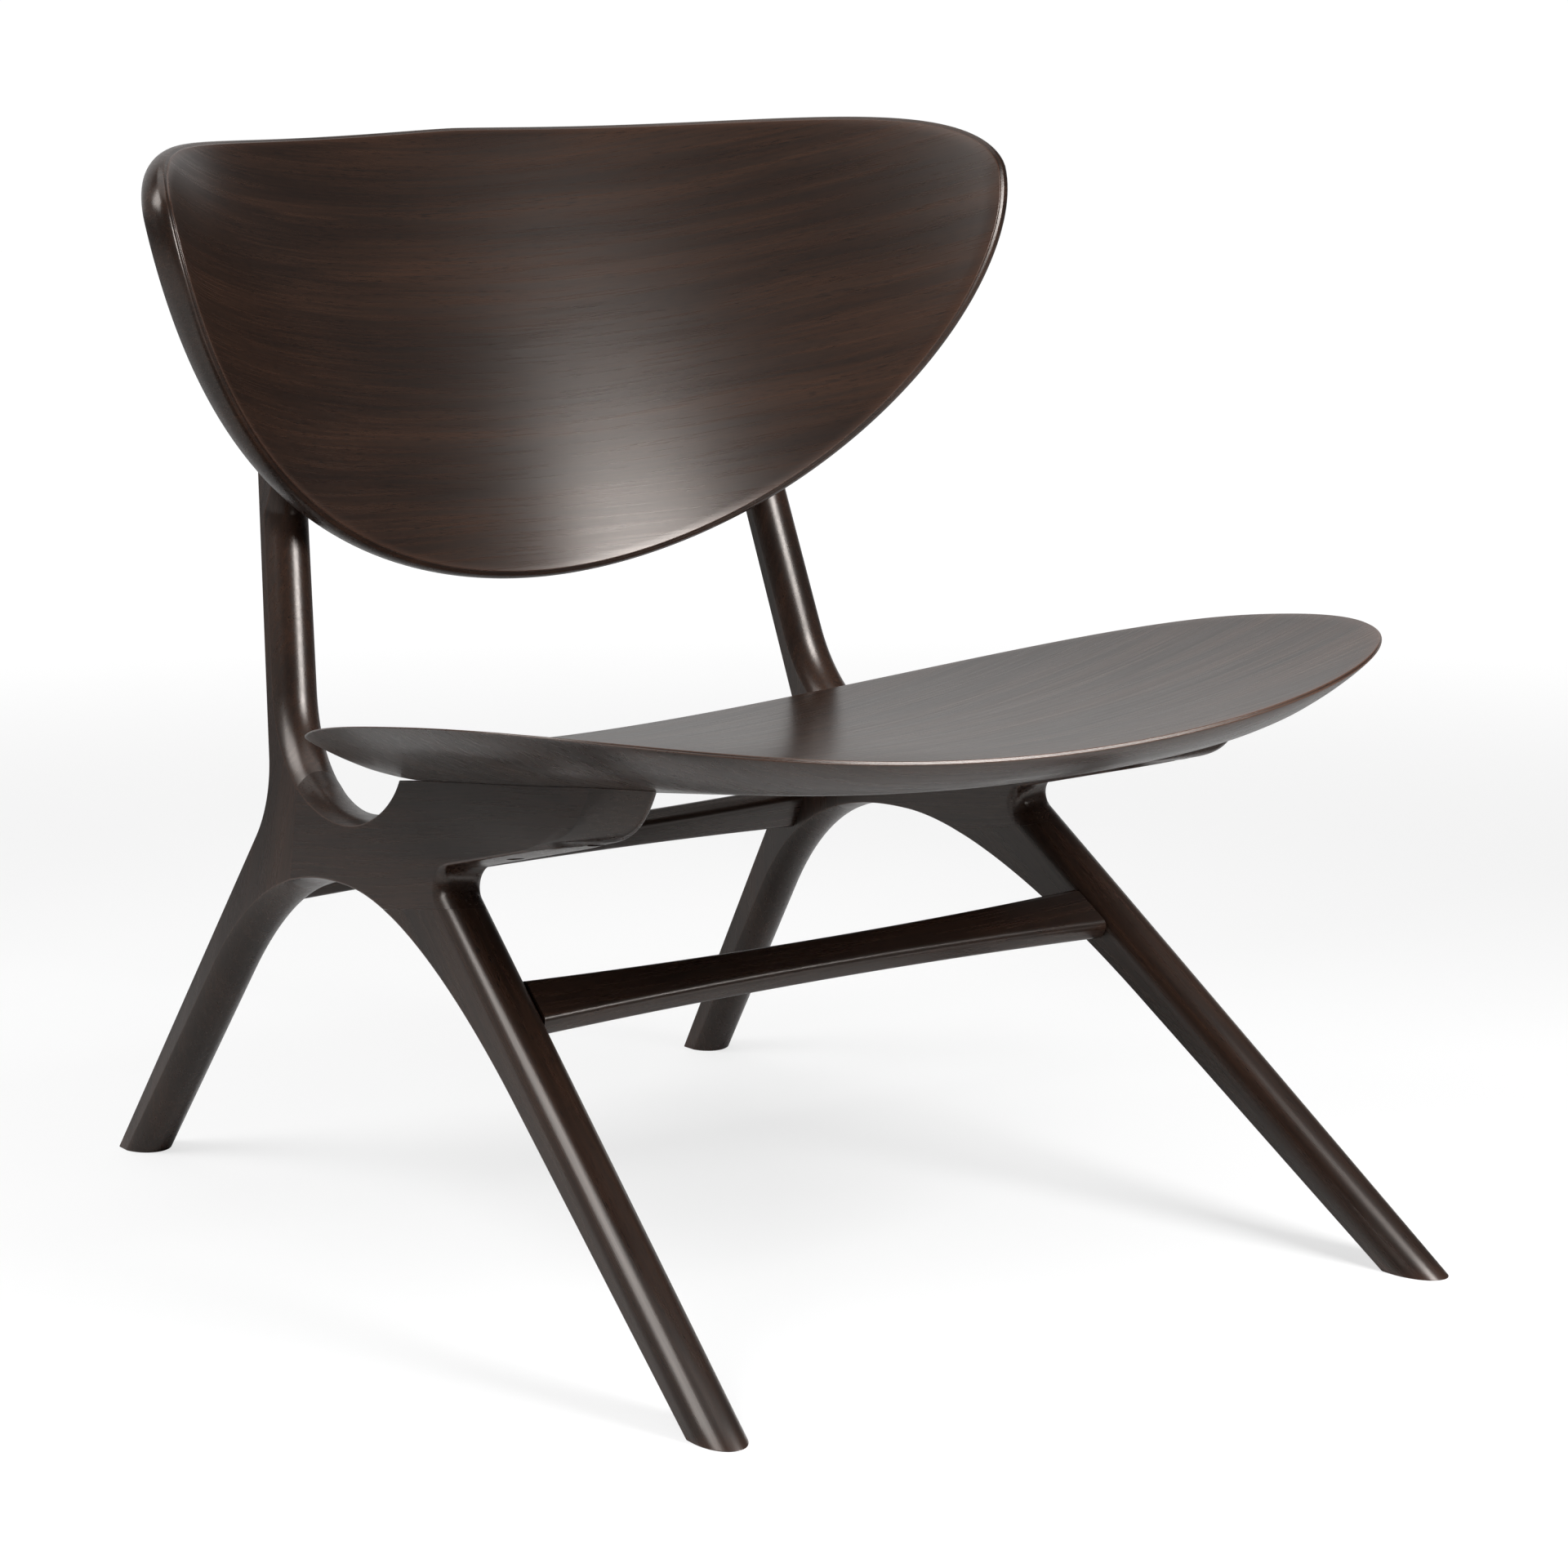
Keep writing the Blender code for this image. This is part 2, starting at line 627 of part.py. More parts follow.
def back_place(across, up, depth):
    """Point of the backrest: bent about a line in front of it, leaning back."""
    turn = across / BACK_BEND_ACROSS
    forward = BACK_BEND_ACROSS - (BACK_BEND_ACROSS + depth) * math.cos(turn)
    x = (BACK_BEND_ACROSS + depth) * math.sin(turn)
    y = BACK_CENTRE[0] + math.sin(BACK_LEAN) * up - math.cos(BACK_LEAN) * forward
    z = BACK_CENTRE[1] + math.cos(BACK_LEAN) * up + math.sin(BACK_LEAN) * forward
    return Vector((x, y, z))


def back_thick(across, up):
    return BACK_THICK


def seat_rim_widths(outline):
    """How far the bevel under the seat spreads: most between the front middle and the side tips."""
    share = np.abs(outline[:, 0] / SEAT_HALF_WIDTH)**4
    return 1.0 + SEAT_BEVEL_SPREAD * 4.0 * share * (1.0 - share)


SEAT_OUTLINE = oval(SEAT_HALF_WIDTH, SEAT_BACK, SEAT_FRONT, SEAT_BACK_POWER, SEAT_FRONT_POWER, SEAT_SWEEP)
BACK_OUTLINE = oval(BACK_HALF_WIDTH, BACK_UPPER, BACK_LOWER, BACK_UPPER_POWER, BACK_LOWER_POWER, BACK_SWEEP)
SEAT_WIDTHS = seat_rim_widths(SEAT_OUTLINE)
BACK_WIDTHS = np.ones(len(BACK_OUTLINE))


# Cross members with a waist and a stub tenon at each end
def bar_section(width, thick, corner, centre, lengthwise):
    """Rounded rectangle in the depth and height plane, long side along 'lengthwise'."""
    crosswise = np.array((-lengthwise[1], lengthwise[0]))
    made = []
    for quarter in range(4):
        mid = 0.25 * math.pi + 0.5 * math.pi * quarter
        hub = np.array((math.copysign(0.5 * width - corner, math.cos(mid)),
                        math.copysign(0.5 * thick - corner, math.sin(mid))))
        for angle in np.linspace(mid - 0.25 * math.pi, mid + 0.25 * math.pi, 4):
            local = hub + corner * np.array((math.cos(angle), math.sin(angle)))
            made.append(np.asarray(centre) + local[0] * lengthwise + local[1] * crosswise)
    return made


def bar_rings(section, out, extra, share=1.0):
    return [Vector((share * (plane_x(out, y, z) + extra), y, z)) for y, z in section]


def cross_bar(name, seat, lengthwise, end_width, mid_width):
    """One cross member between the inner faces of the frames, with its tenons."""
    inner = frame_point(RIGHT, seat[0], seat[1], -HALF_THICK)
    centre = (inner.y, inner.z)
    face = -(HALF_THICK + JOINT_GAP)
    tenon = bar_section(TENON_WIDTH, TENON_THICK, 0.002, centre, lengthwise)
    rings = []
    for share in np.linspace(-1.0, 1.0, 15):
        width = mid_width + (end_width - mid_width) * share * share
        section = bar_section(width, BAR_THICK, BAR_CORNER, centre, lengthwise)
        rings.append(bar_rings(section, face, 0.0, share))
    low = [bar_rings(tenon, face, TENON_LENGTH, -1.0), bar_rings(tenon, face, 0.0, -1.0)]
    high = [bar_rings(tenon, face, 0.0), bar_rings(tenon, face, TENON_LENGTH)]
    return loft(name, low + rings + high)


def mortise(name, side, seat, lengthwise):
    inner = frame_point(RIGHT, seat[0], seat[1], -HALF_THICK)
    width = TENON_WIDTH + 2.0 * HOLE_GAP
    thick = TENON_THICK + 2.0 * HOLE_GAP
    section = bar_section(width, thick, 0.002 + HOLE_GAP, (inner.y, inner.z), lengthwise)
    face = -(HALF_THICK + JOINT_GAP)
    return loft(name, [bar_rings(section, face, -0.004, side),
                       bar_rings(section, face, TENON_LENGTH + HOLE_GAP, side)])


# Round work: dowels, bolts, inserts and the holes they sit in
def turned(name, profile, start, direction):
    """Spin a half profile of (radius, distance) points about a line through 'start'."""
    work = bmesh.new()
    row = [work.verts.new((radius, 0.0, height)) for radius, height in profile]
    edges = [work.edges.new((row[k], row[k + 1])) for k in range(len(row) - 1)]
    bmesh.ops.spin(work, geom=row + edges, cent=(0, 0, 0), axis=(0, 0, 1), dvec=(0, 0, 0),
                   angle=2.0 * math.pi, steps=ROD_STEPS, use_merge=True)
    bmesh.ops.remove_doubles(work, verts=work.verts, dist=1e-6)
    bmesh.ops.recalc_face_normals(work, faces=work.faces)
    turn = direction.to_track_quat("Z", "Y").to_matrix().to_4x4()
    bmesh.ops.transform(work, matrix=Matrix.Translation(start) @ turn, verts=work.verts)
    made = bpy.data.meshes.new(name)
    work.to_mesh(made)
    work.free()
    return made


def joined(name, meshes):
    work = bmesh.new()
    for mesh in meshes:
        work.from_mesh(mesh)
        bpy.data.meshes.remove(mesh)
    made = bpy.data.meshes.new(name)
    work.to_mesh(made)
    work.free()
    return made


def dowel(name, middle, direction, radius, length):
    half = 0.5 * length
    bevel = 0.2 * radius
    profile = ((0.0, -half), (radius - bevel, -half), (radius, bevel - half),
               (radius, half - bevel), (radius - bevel, half), (0.0, half))
    return turned(name, profile, middle, direction)


def dowel_hole(middle, direction, radius, length):
    half = 0.5 * length + HOLE_GAP
    wide = radius + HOLE_GAP
    return turned("hole", ((0.0, -half), (wide, -half), (wide, half), (0.0, half)), middle, direction)


def bolt(name, under_head, direction, length):
    """Flat headed bolt; its socket is cut from the head."""
    head = BOLT_HEAD_HEIGHT
    edge = 0.0006
    profile = ((0.0, -head), (BOLT_HEAD_RADIUS - edge, -head), (BOLT_HEAD_RADIUS, edge - head),
               (BOLT_HEAD_RADIUS, 0.0), (BOLT_RADIUS, 0.0), (BOLT_RADIUS, length - edge),
               (BOLT_RADIUS - edge, length), (0.0, length))
    part = add_part(name, turned(name, profile, under_head, direction), STEEL)
    socket = bmesh.new()
    bmesh.ops.create_cone(socket, cap_ends=True, segments=6, radius1=BOLT_SOCKET_RADIUS,
                          radius2=BOLT_SOCKET_RADIUS, depth=2.0 * BOLT_SOCKET_DEPTH)
    turn = direction.to_track_quat("Z", "Y").to_matrix().to_4x4()
    top = under_head - direction * head
    bmesh.ops.transform(socket, matrix=Matrix.Translation(top) @ turn, verts=socket.verts)
    mesh = bpy.data.meshes.new(name + "_socket")
    socket.to_mesh(mesh)
    socket.free()
    cut_with(part, name + "_socket", mesh)
    return part


def bolt_hole(under_head, direction, length):
    """Clearance hole with a counterbore that runs out behind the head."""
    wide = BOLT_HEAD_RADIUS + HOLE_GAP
    slim = BOLT_RADIUS + HOLE_GAP
    profile = ((0.0, -0.06), (wide, -0.06), (wide, HOLE_GAP), (slim, HOLE_GAP),
               (slim, length + 0.006), (0.0, length + 0.006))
    return turned("hole", profile, under_head, direction)


def insert(name, mouth, direction):
    """Threaded insert: a sleeve with two raised bands, open at both ends."""
    bore = BOLT_RADIUS + HOLE_GAP
    inner = INSERT_RADIUS - INSERT_FLANGE
    third = INSERT_LENGTH / 5.0
    profile = ((bore, 0.0), (INSERT_RADIUS, 0.0), (INSERT_RADIUS, third), (inner, 1.4 * third),
               (inner, 2.6 * third), (INSERT_RADIUS, 3.0 * third), (INSERT_RADIUS, 4.5 * third),
               (inner, INSERT_LENGTH), (bore, INSERT_LENGTH), (bore, 0.0))
    return add_part(name, turned(name, profile, mouth, direction), BRASS)


def insert_hole(surface, direction, depth):
    wide = INSERT_RADIUS + HOLE_GAP
    profile = ((0.0, -0.012), (wide, -0.012), (wide, depth), (0.0, depth))
    return turned("hole", profile, surface, direction)


def reach_surface(start, direction, gap_at):
    """Distance along a line to the face where 'gap_at' falls to nothing."""
    low, high = 0.0, 0.12
    for _ in range(60):
        middle = 0.5 * (low + high)
        if gap_at(start + direction * middle) > 0.0:
            low = middle
        else:
            high = middle
    return 0.5 * (low + high)


def below_seat(point):
    """How far a point lies below the underside of the seat."""
    depth = point.y - SEAT_CENTRE[0]
    height = point.z - SEAT_CENTRE[1]
    along = depth * math.cos(SEAT_TILT) - height * math.sin(SEAT_TILT)
    lift = depth * math.sin(SEAT_TILT) + height * math.cos(SEAT_TILT)
    radial = math.hypot(point.x, SEAT_BEND_RADIUS - lift + SEAT_DISH * along**2)
    across = SEAT_BEND_RADIUS * math.asin(point.x / radial)
    return radial - SEAT_BEND_RADIUS - seat_thick(across, along)


def behind_back(point):
    """How far a point lies behind the back face of the backrest."""
    nearer = BACK_CENTRE[0] - point.y
    height = point.z - BACK_CENTRE[1]
    forward = nearer * math.cos(BACK_LEAN) + height * math.sin(BACK_LEAN)
    return math.hypot(point.x, BACK_BEND_ACROSS - forward) - BACK_BEND_ACROSS - BACK_THICK


def floor_block():
    work = bmesh.new()
    bmesh.ops.create_cube(work, size=1.0)
    size = Matrix.Diagonal((1.4, 1.4, 0.1, 1.0))
    bmesh.ops.transform(work, matrix=Matrix.Translation((0.0, 0.0, -0.05)) @ size, verts=work.verts)
    made = bpy.data.meshes.new("floor_cut")
    work.to_mesh(made)
    work.free()
    return made


def along_line(low, high):
    """Unit direction in the depth and height plane of an edge of a frame."""
    first = frame_point(RIGHT, low[0], low[1])
    second = frame_point(RIGHT, high[0], high[1])
    return unit(np.array((second.y - first.y, second.z - first.z)))


FRONT_LEG_LINE = along_line(FRONT_SOLE_BACK, FRONT_LEG_LOW)
REAR_LEG_LINE = along_line(REAR_LEG_TOE, REAR_LEG_HIGH)

SEAT = add_part("seat_shell",
                shell("seat_shell", SEAT_OUTLINE, SEAT_RIM, SEAT_WIDTHS, seat_place, seat_thick), WOOD)
BACK = add_part("backrest_shell",
                shell("backrest_shell", BACK_OUTLINE, BACK_RIM, BACK_WIDTHS, back_place, back_thick), WOOD)
STRETCHER = cross_bar("front_stretcher", STRETCHER_SEAT, FRONT_LEG_LINE,
                      STRETCHER_END_WIDTH, STRETCHER_MID_WIDTH)
CROSS_RAIL = cross_bar("rear_cross_rail", CROSS_RAIL_SEAT, REAR_LEG_LINE,
                       CROSS_RAIL_END_WIDTH, CROSS_RAIL_MID_WIDTH)
add_part("front_stretcher", STRETCHER, WOOD)
add_part("rear_cross_rail", CROSS_RAIL, WOOD)


def build_side(side):
    tag = SIDE_NAMES[side]
    rear = add_part("rear_leg_post_" + tag, plank("rear_leg_post", side, rear_leg_outline()), WOOD)
    rail = add_part("seat_rail_" + tag, plank("seat_rail", side, seat_rail_outline()), WOOD)
    leg = add_part("front_leg_" + tag, plank("front_leg", side, front_leg_outline()), WOOD)
    cut_with(rear, "rear_foot_cut_" + tag, floor_block())
    cut_with(leg, "front_foot_cut_" + tag, floor_block())
    cut_with(rear, "rear_mortise_" + tag, mortise("rear_mortise", side, CROSS_RAIL_SEAT, REAR_LEG_LINE))
    cut_with(leg, "front_mortise_" + tag, mortise("front_mortise", side, STRETCHER_SEAT, FRONT_LEG_LINE))
    seat_bed = shell("seat_bed", SEAT_OUTLINE, SEAT_RIM, SEAT_WIDTHS, seat_place, seat_thick,
                     JOINT_GAP, 0.03)
    cut_with(rail, "seat_bed_" + tag, seat_bed)
    cut_with(rail, "tip_outer_" + tag, tip_bow("tip_outer", side, 1.0))
    cut_with(rail, "tip_inner_" + tag, tip_bow("tip_inner", side, -1.0))
    back_bed = shell("back_bed", BACK_OUTLINE, BACK_RIM, BACK_WIDTHS, back_place, back_thick,
                     JOINT_GAP, 0.04)
    cut_with(rear, "back_bed_" + tag, back_bed)

    rail_holes = []
    rear_holes = []
    leg_holes = []
    for level, spot in zip(RAIL_DOWEL_LEVELS, ("upper", "lower")):
        name = "rail_dowel_" + spot + "_" + tag
        middle = frame_point(side, RAIL_SEAM, level)
        axis = frame_direction(side, 1.0, 0.0)
        add_part(name, dowel(name, middle, axis, RAIL_DOWEL_RADIUS, RAIL_DOWEL_LENGTH), PIN)
        rail_holes.append(dowel_hole(middle, axis, RAIL_DOWEL_RADIUS, RAIL_DOWEL_LENGTH))
        rear_holes.append(dowel_hole(middle, axis, RAIL_DOWEL_RADIUS, RAIL_DOWEL_LENGTH))
    for along, spot in zip(LEG_DOWEL_PLACES, ("front", "rear")):
        name = "leg_dowel_" + spot + "_" + tag
        up = LEG_SEAM[1] + LEG_SEAM_SLOPE * (along - LEG_SEAM[0])
        middle = frame_point(side, along, up)
        axis = frame_direction(side, LEG_SEAM_NORMAL[0], LEG_SEAM_NORMAL[1])
        add_part(name, dowel(name, middle, axis, LEG_DOWEL_RADIUS, LEG_DOWEL_LENGTH), PIN)
        rail_holes.append(dowel_hole(middle, axis, LEG_DOWEL_RADIUS, LEG_DOWEL_LENGTH))
        leg_holes.append(dowel_hole(middle, axis, LEG_DOWEL_RADIUS, LEG_DOWEL_LENGTH))

    seat_holes = []
    rail_line = unit(np.array(RAIL_BACK) - np.array(RAIL_TIP))
    for along, spot in zip(SEAT_BOLT_PLACES, ("front", "rear")):
        axis = frame_direction(side, -rail_line[1], rail_line[0])
        level = RAIL_BACK[1] + (along - RAIL_BACK[0]) * rail_line[1] / rail_line[0]
        start = frame_point(side, along, level) - axis * 0.05
        surface = start + axis * reach_surface(start, axis, below_seat)
        under_head = surface - axis * SEAT_BOLT_GRIP
        length = SEAT_BOLT_GRIP + SEAT_INSERT_SINK + SEAT_BOLT_REACH
        bolt("seat_bolt_" + spot + "_" + tag, under_head, axis, length)
        insert("seat_insert_" + spot + "_" + tag, surface + axis * SEAT_INSERT_SINK, axis)
        rail_holes.append(bolt_hole(under_head, axis, length))
        seat_holes.append(insert_hole(surface, axis, SEAT_INSERT_SINK + INSERT_LENGTH + 3.0 * HOLE_GAP))

    back_holes = []
    post_line = unit(np.array(POST_TOP) - np.array(POST_BACK))
    for level, spot in zip(BACK_BOLT_LEVELS, ("upper", "lower")):
        axis = frame_direction(side, -post_line[1], post_line[0])
        share = (level - POST_BACK[1]) / (POST_TOP[1] - POST_BACK[1])
        along = POST_BACK[0] + share * (POST_TOP[0] - POST_BACK[0])
        start = frame_point(side, along, level)
        surface = start + axis * reach_surface(start, axis, behind_back)
        under_head = surface - axis * BACK_BOLT_GRIP
        length = BACK_BOLT_GRIP + BACK_INSERT_SINK + BACK_BOLT_REACH - 0.003
        bolt("back_bolt_" + spot + "_" + tag, under_head, axis, length)
        insert("back_insert_" + spot + "_" + tag, surface + axis * BACK_INSERT_SINK, axis)
        rear_holes.append(bolt_hole(under_head, axis, length))
        back_holes.append(insert_hole(surface, axis, BACK_INSERT_SINK + INSERT_LENGTH + 3.0 * HOLE_GAP))

    cut_with(rail, "rail_holes_" + tag, joined("rail_holes", rail_holes))
    cut_with(rear, "rear_holes_" + tag, joined("rear_holes", rear_holes))
    cut_with(leg, "leg_holes_" + tag, joined("leg_holes", leg_holes))
    cut_with(SEAT, "seat_holes_" + tag, joined("seat_holes", seat_holes))
    cut_with(BACK, "back_holes_" + tag, joined("back_holes", back_holes))


build_side(LEFT)
build_side(RIGHT)


def centre_on_floor():
    """Slide the chair so that its overall box stands centred on the origin."""
    view = bpy.context.evaluated_depsgraph_get()
    lows, highs = [], []
    for part in PARTS.objects:
        solid = part.evaluated_get(view).to_mesh()
        place = np.empty(3 * len(solid.vertices))
        solid.vertices.foreach_get("co", place)
        place = place.reshape(-1, 3)
        lows.append(place.min(0))
        highs.append(place.max(0))
    low, high = np.min(lows, 0), np.max(highs, 0)
    shift = Vector((-0.5 * (low[0] + high[0]), -0.5 * (low[1] + high[1]), -low[2]))
    for piece in list(PARTS.objects) + list(CUTTERS.objects):
        piece.data.transform(Matrix.Translation(shift))
    print("size", [round(value, 4) for value in high - low])


centre_on_floor()
print("parts", len(PARTS.objects))
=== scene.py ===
# %% [markdown]
# # A low lounge chair in dark stained mahogany
# The chair is two sculpted side frames, two waisted cross members, a dished seat and a back
# board bent round the sitter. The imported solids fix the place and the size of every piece.
# The wooden pieces are made again here as fine surfaces, because a satin finish shows every
# facet, and an edge needs a small radius before it catches the light as wood does.

import math

import bmesh
import bpy
import numpy as np
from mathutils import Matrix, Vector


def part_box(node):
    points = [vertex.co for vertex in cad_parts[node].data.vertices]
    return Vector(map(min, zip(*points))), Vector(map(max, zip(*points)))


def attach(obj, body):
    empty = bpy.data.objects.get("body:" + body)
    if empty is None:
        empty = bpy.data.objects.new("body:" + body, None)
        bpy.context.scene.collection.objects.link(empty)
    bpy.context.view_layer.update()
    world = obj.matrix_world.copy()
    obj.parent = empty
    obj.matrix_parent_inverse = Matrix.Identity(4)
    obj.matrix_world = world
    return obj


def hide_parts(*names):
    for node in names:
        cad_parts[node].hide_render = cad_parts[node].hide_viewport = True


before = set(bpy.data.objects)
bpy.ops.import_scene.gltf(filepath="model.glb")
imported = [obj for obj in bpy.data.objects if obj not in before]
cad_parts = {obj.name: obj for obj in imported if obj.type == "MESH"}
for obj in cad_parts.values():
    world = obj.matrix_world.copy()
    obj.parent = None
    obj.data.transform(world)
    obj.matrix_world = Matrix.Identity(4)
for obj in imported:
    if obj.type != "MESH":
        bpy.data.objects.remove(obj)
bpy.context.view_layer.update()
print("packed solids:", len(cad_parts))

# %% [markdown]
# ## The plane of a side frame
# Each side frame is cut from 34 mm planks that lie in one plane. That plane leans outward at
# the floor and is turned a little, so the chair is narrower behind than in front. A point of a
# plank is easiest to give in the plank's own directions: along, up and out of the plane. The
# right frame is the left one mirrored, so one function serves both. The solids were centred on
# the floor, and one dowel tells how far they were slid for that.

# %% Plank directions and the slide
HALF = 0.017  # half the thickness of a plank
STANCE = 0.264  # from the middle of the chair to the plane, on the floor
LEAN = 0.113  # slope of the plane's lean
TOE = 0.0443  # slope of its turn
RAIL_SEAM = 0.1638  # glue line of hub and rear leg, along the plank
UPPER_DOWEL = 0.2800  # upper dowel on that line, up the plank
SIDES = {"left": -1.0, "right": 1.0}


def unit(v):
    """Vectors divided by their length, along their last axis."""
    v = np.asarray(v, float)
    return v / np.linalg.norm(v, axis=-1, keepdims=True)


OUTWARD = unit((-1.0, TOE, LEAN))
ALONG = unit((TOE, 1.0, 0.0))
UPWARD = np.cross(ALONG, OUTWARD)
UPWARD = UPWARD * np.sign(UPWARD[2])
SLIDE = np.zeros(3)


def on_frame(side, along, up, out=0.0):
    """Points of a frame: the stance plus distances along, up and out, mirrored on the right."""
    parts = np.broadcast_arrays(along, up, out)
    along, up, out = [np.asarray(v, float)[..., None] for v in parts]
    place = np.array((-STANCE, 0.0, 0.0)) + along * ALONG + up * UPWARD + out * OUTWARD
    return place * (-SIDES[side], 1.0, 1.0) + SLIDE


def middle_of(node):
    """Middle of a solid's box: half the sum of its two corners."""
    low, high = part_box(node)
    return 0.5 * (np.array(low) + np.array(high))


dowel_at = middle_of("rail_dowel_upper_left")
unslid_at = on_frame("left", RAIL_SEAM, UPPER_DOWEL)
SLIDE = np.array((0.0, dowel_at[1] - unslid_at[1], 0.0))
print("slide:", SLIDE.round(5))

# %% [markdown]
# ## Skinning rings
# Every piece here is a row of closed rings with the same number of points: the outline of a
# plank at each level of its thickness, a ring of a shell, or a section of a cross member. One
# function joins neighbouring rings with quads and closes the ends, with one flat face where the
# end is flat, or with a fan to a single point where it is curved.

# %% A mesh from rings
ANY_LINE = (0.3, 0.5, 0.81)  # not parallel to any rod


def face_outward(mesh):
    """Turn all faces outward: the signed volume of a closed body is then above zero."""
    work = bmesh.new()
    work.from_mesh(mesh)
    bmesh.ops.recalc_face_normals(work, faces=work.faces)
    if work.calc_volume(signed=True) < 0.0:
        bmesh.ops.reverse_faces(work, faces=work.faces)
    work.to_mesh(mesh)
    work.free()


def skin(name, rings, poles=None):
    """Quads from each point to the next point and ring; ends are flat, or fans to two poles."""
    rings = np.asarray(rings, float)
    rows, count = rings.shape[:2]
    k = np.arange(count)
    after = (k + 1) % count
    low = np.arange(rows - 1)[:, None] * count
    quads = np.stack([low + k, low + after, low + count + after, low + count + k], -1)
    points = rings.reshape(-1, 3)
    faces = quads.reshape(-1, 4).tolist()
    last = (rows - 1) * count
    if poles is None:
        faces += [k[::-1].tolist(), (last + k).tolist()]
    else:
        points = np.concatenate([points, np.asarray(poles, float)])
        first_fan = np.stack([np.full(count, last + count), after, k], -1)
        last_fan = np.stack([np.full(count, last + count + 1), last + k, last + after], -1)
        faces += first_fan.tolist() + last_fan.tolist()
    mesh = bpy.data.meshes.new(name)
    mesh.from_pydata(points.tolist(), [], faces)
    face_outward(mesh)
    return mesh


def turned(name, start, axis, profile, steps=40):
    """Round body: pairs of distance and radius, turned about a line from 'start' along 'axis'."""
    axis = unit(axis)
    aside = unit(np.cross(axis, ANY_LINE))
    angle = np.linspace(0.0, 2.0 * math.pi, steps, endpoint=False)[:, None]
    spoke = np.cos(angle) * aside + np.sin(angle) * np.cross(axis, aside)
    rings = [np.asarray(start) + d * axis + r * spoke for d, r in profile]
    return skin(name, rings)


# %% [markdown]
# ## Round fixings, read from the solids
# Dowels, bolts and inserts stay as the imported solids: they are plain turned things and only the
# bolt heads can be seen, at the bottom of their holes. The wooden pieces need those holes, so
# each rod's line and length are measured from its own points. The longest principal direction
# of a bolt or dowel is its axis, and the wider end of a bolt is its head.

# %% Rods and the holes for them
GAP = 0.0003  # clearance round fixings, tenons and bedded boards
RAIL_DOWEL = 0.005  # radii
LEG_DOWEL = 0.004
BOLT_HEAD = 0.0055
BOLT_SHANK = 0.003
INSERT = 0.005
HEAD_HEIGHT = 0.0035
BEHIND_HEAD = 0.06  # how far a counterbore runs out of the wood
PAST_SHANK = 0.002
BEFORE_INSERT = 0.016
PAST_INSERT = 0.0009
WIDER = 1e-4  # how much wider one end must be to count as a head


def points_of(node):
    """All points of a solid as an array."""
    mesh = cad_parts[node].data
    place = np.empty(3 * len(mesh.vertices))
    mesh.vertices.foreach_get("co", place)
    return place.reshape(-1, 3)


def rod_line(node):
    """Start, axis and length of a rod; its rings are even, so its points' mean lies on its axis."""
    place = np.unique(points_of(node).round(6), axis=0)
    centre = place.mean(0)
    axis = np.linalg.svd(place - centre, full_matrices=False)[2][0]
    along = (place - centre) @ axis
    aside = np.linalg.norm(place - centre - along[:, None] * axis, axis=1)
    if aside[along > 0].max() > aside[along < 0].max() + WIDER:
        axis, along = -axis, -along
    return centre + along.min() * axis, axis, np.ptp(along)


def dowel_hole(node, radius):
    """A hole that is longer and wider than its dowel by the gap."""
    start, axis, length = rod_line(node)
    wide = radius + GAP
    return turned("hole", start, axis, ((-GAP, wide), (length + GAP, wide)))


def bolt_hole(node):
    """A counterbore for the head, open behind it, and a slimmer hole for the shank."""
    start, axis, length = rod_line(node)
    head = BOLT_HEAD + GAP
    shank = BOLT_SHANK + GAP
    seat = HEAD_HEIGHT + GAP
    profile = ((-BEHIND_HEAD, head), (seat, head), (seat, shank), (length + PAST_SHANK, shank))
    return turned("hole", start, axis, profile)


def insert_hole(node, bolt):
    """A blind hole for a threaded insert, on the line of its bolt."""
    start, axis, _ = rod_line(bolt)
    along = (points_of(node) - start) @ axis
    wide = INSERT + GAP
    profile = ((along.min() - BEFORE_INSERT, wide), (along.max() + PAST_INSERT, wide))
    return turned("hole", start, axis, profile)


print("bolt axis:", rod_line("seat_bolt_front_left")[1].round(3))

# %% [markdown]
# ## Carving
# A maker drills and beds these joints after the parts are shaped. The same order works here: a
# finished body loses its cutters through exact booleans, one after another, and the cutters are
# thrown away. The legs are first made a little too long and then cut level with the floor.

# %% Take cutters away from a body
SOLE_BEVEL = 0.003


def carve(name, mesh, cutters):
    """A new object of the mesh minus each cutter mesh."""
    body = bpy.data.objects.new(name, mesh)
    bpy.context.scene.collection.objects.link(body)
    tools = []
    for cutter in cutters:
        tool = bpy.data.objects.new("cutter", cutter)
        bpy.context.scene.collection.objects.link(tool)
        cut = body.modifiers.new("cut", "BOOLEAN")
        cut.operation = "DIFFERENCE"
        cut.solver = "EXACT"
        cut.object = tool
        tools.append(tool)
    bpy.context.view_layer.update()
    view = bpy.context.evaluated_depsgraph_get()
    carved = bpy.data.meshes.new_from_object(body.evaluated_get(view))
    body.modifiers.clear()
    body.data = carved
    carved.name = name
    for tool in tools:
        bpy.data.objects.remove(tool, do_unlink=True)
    return body


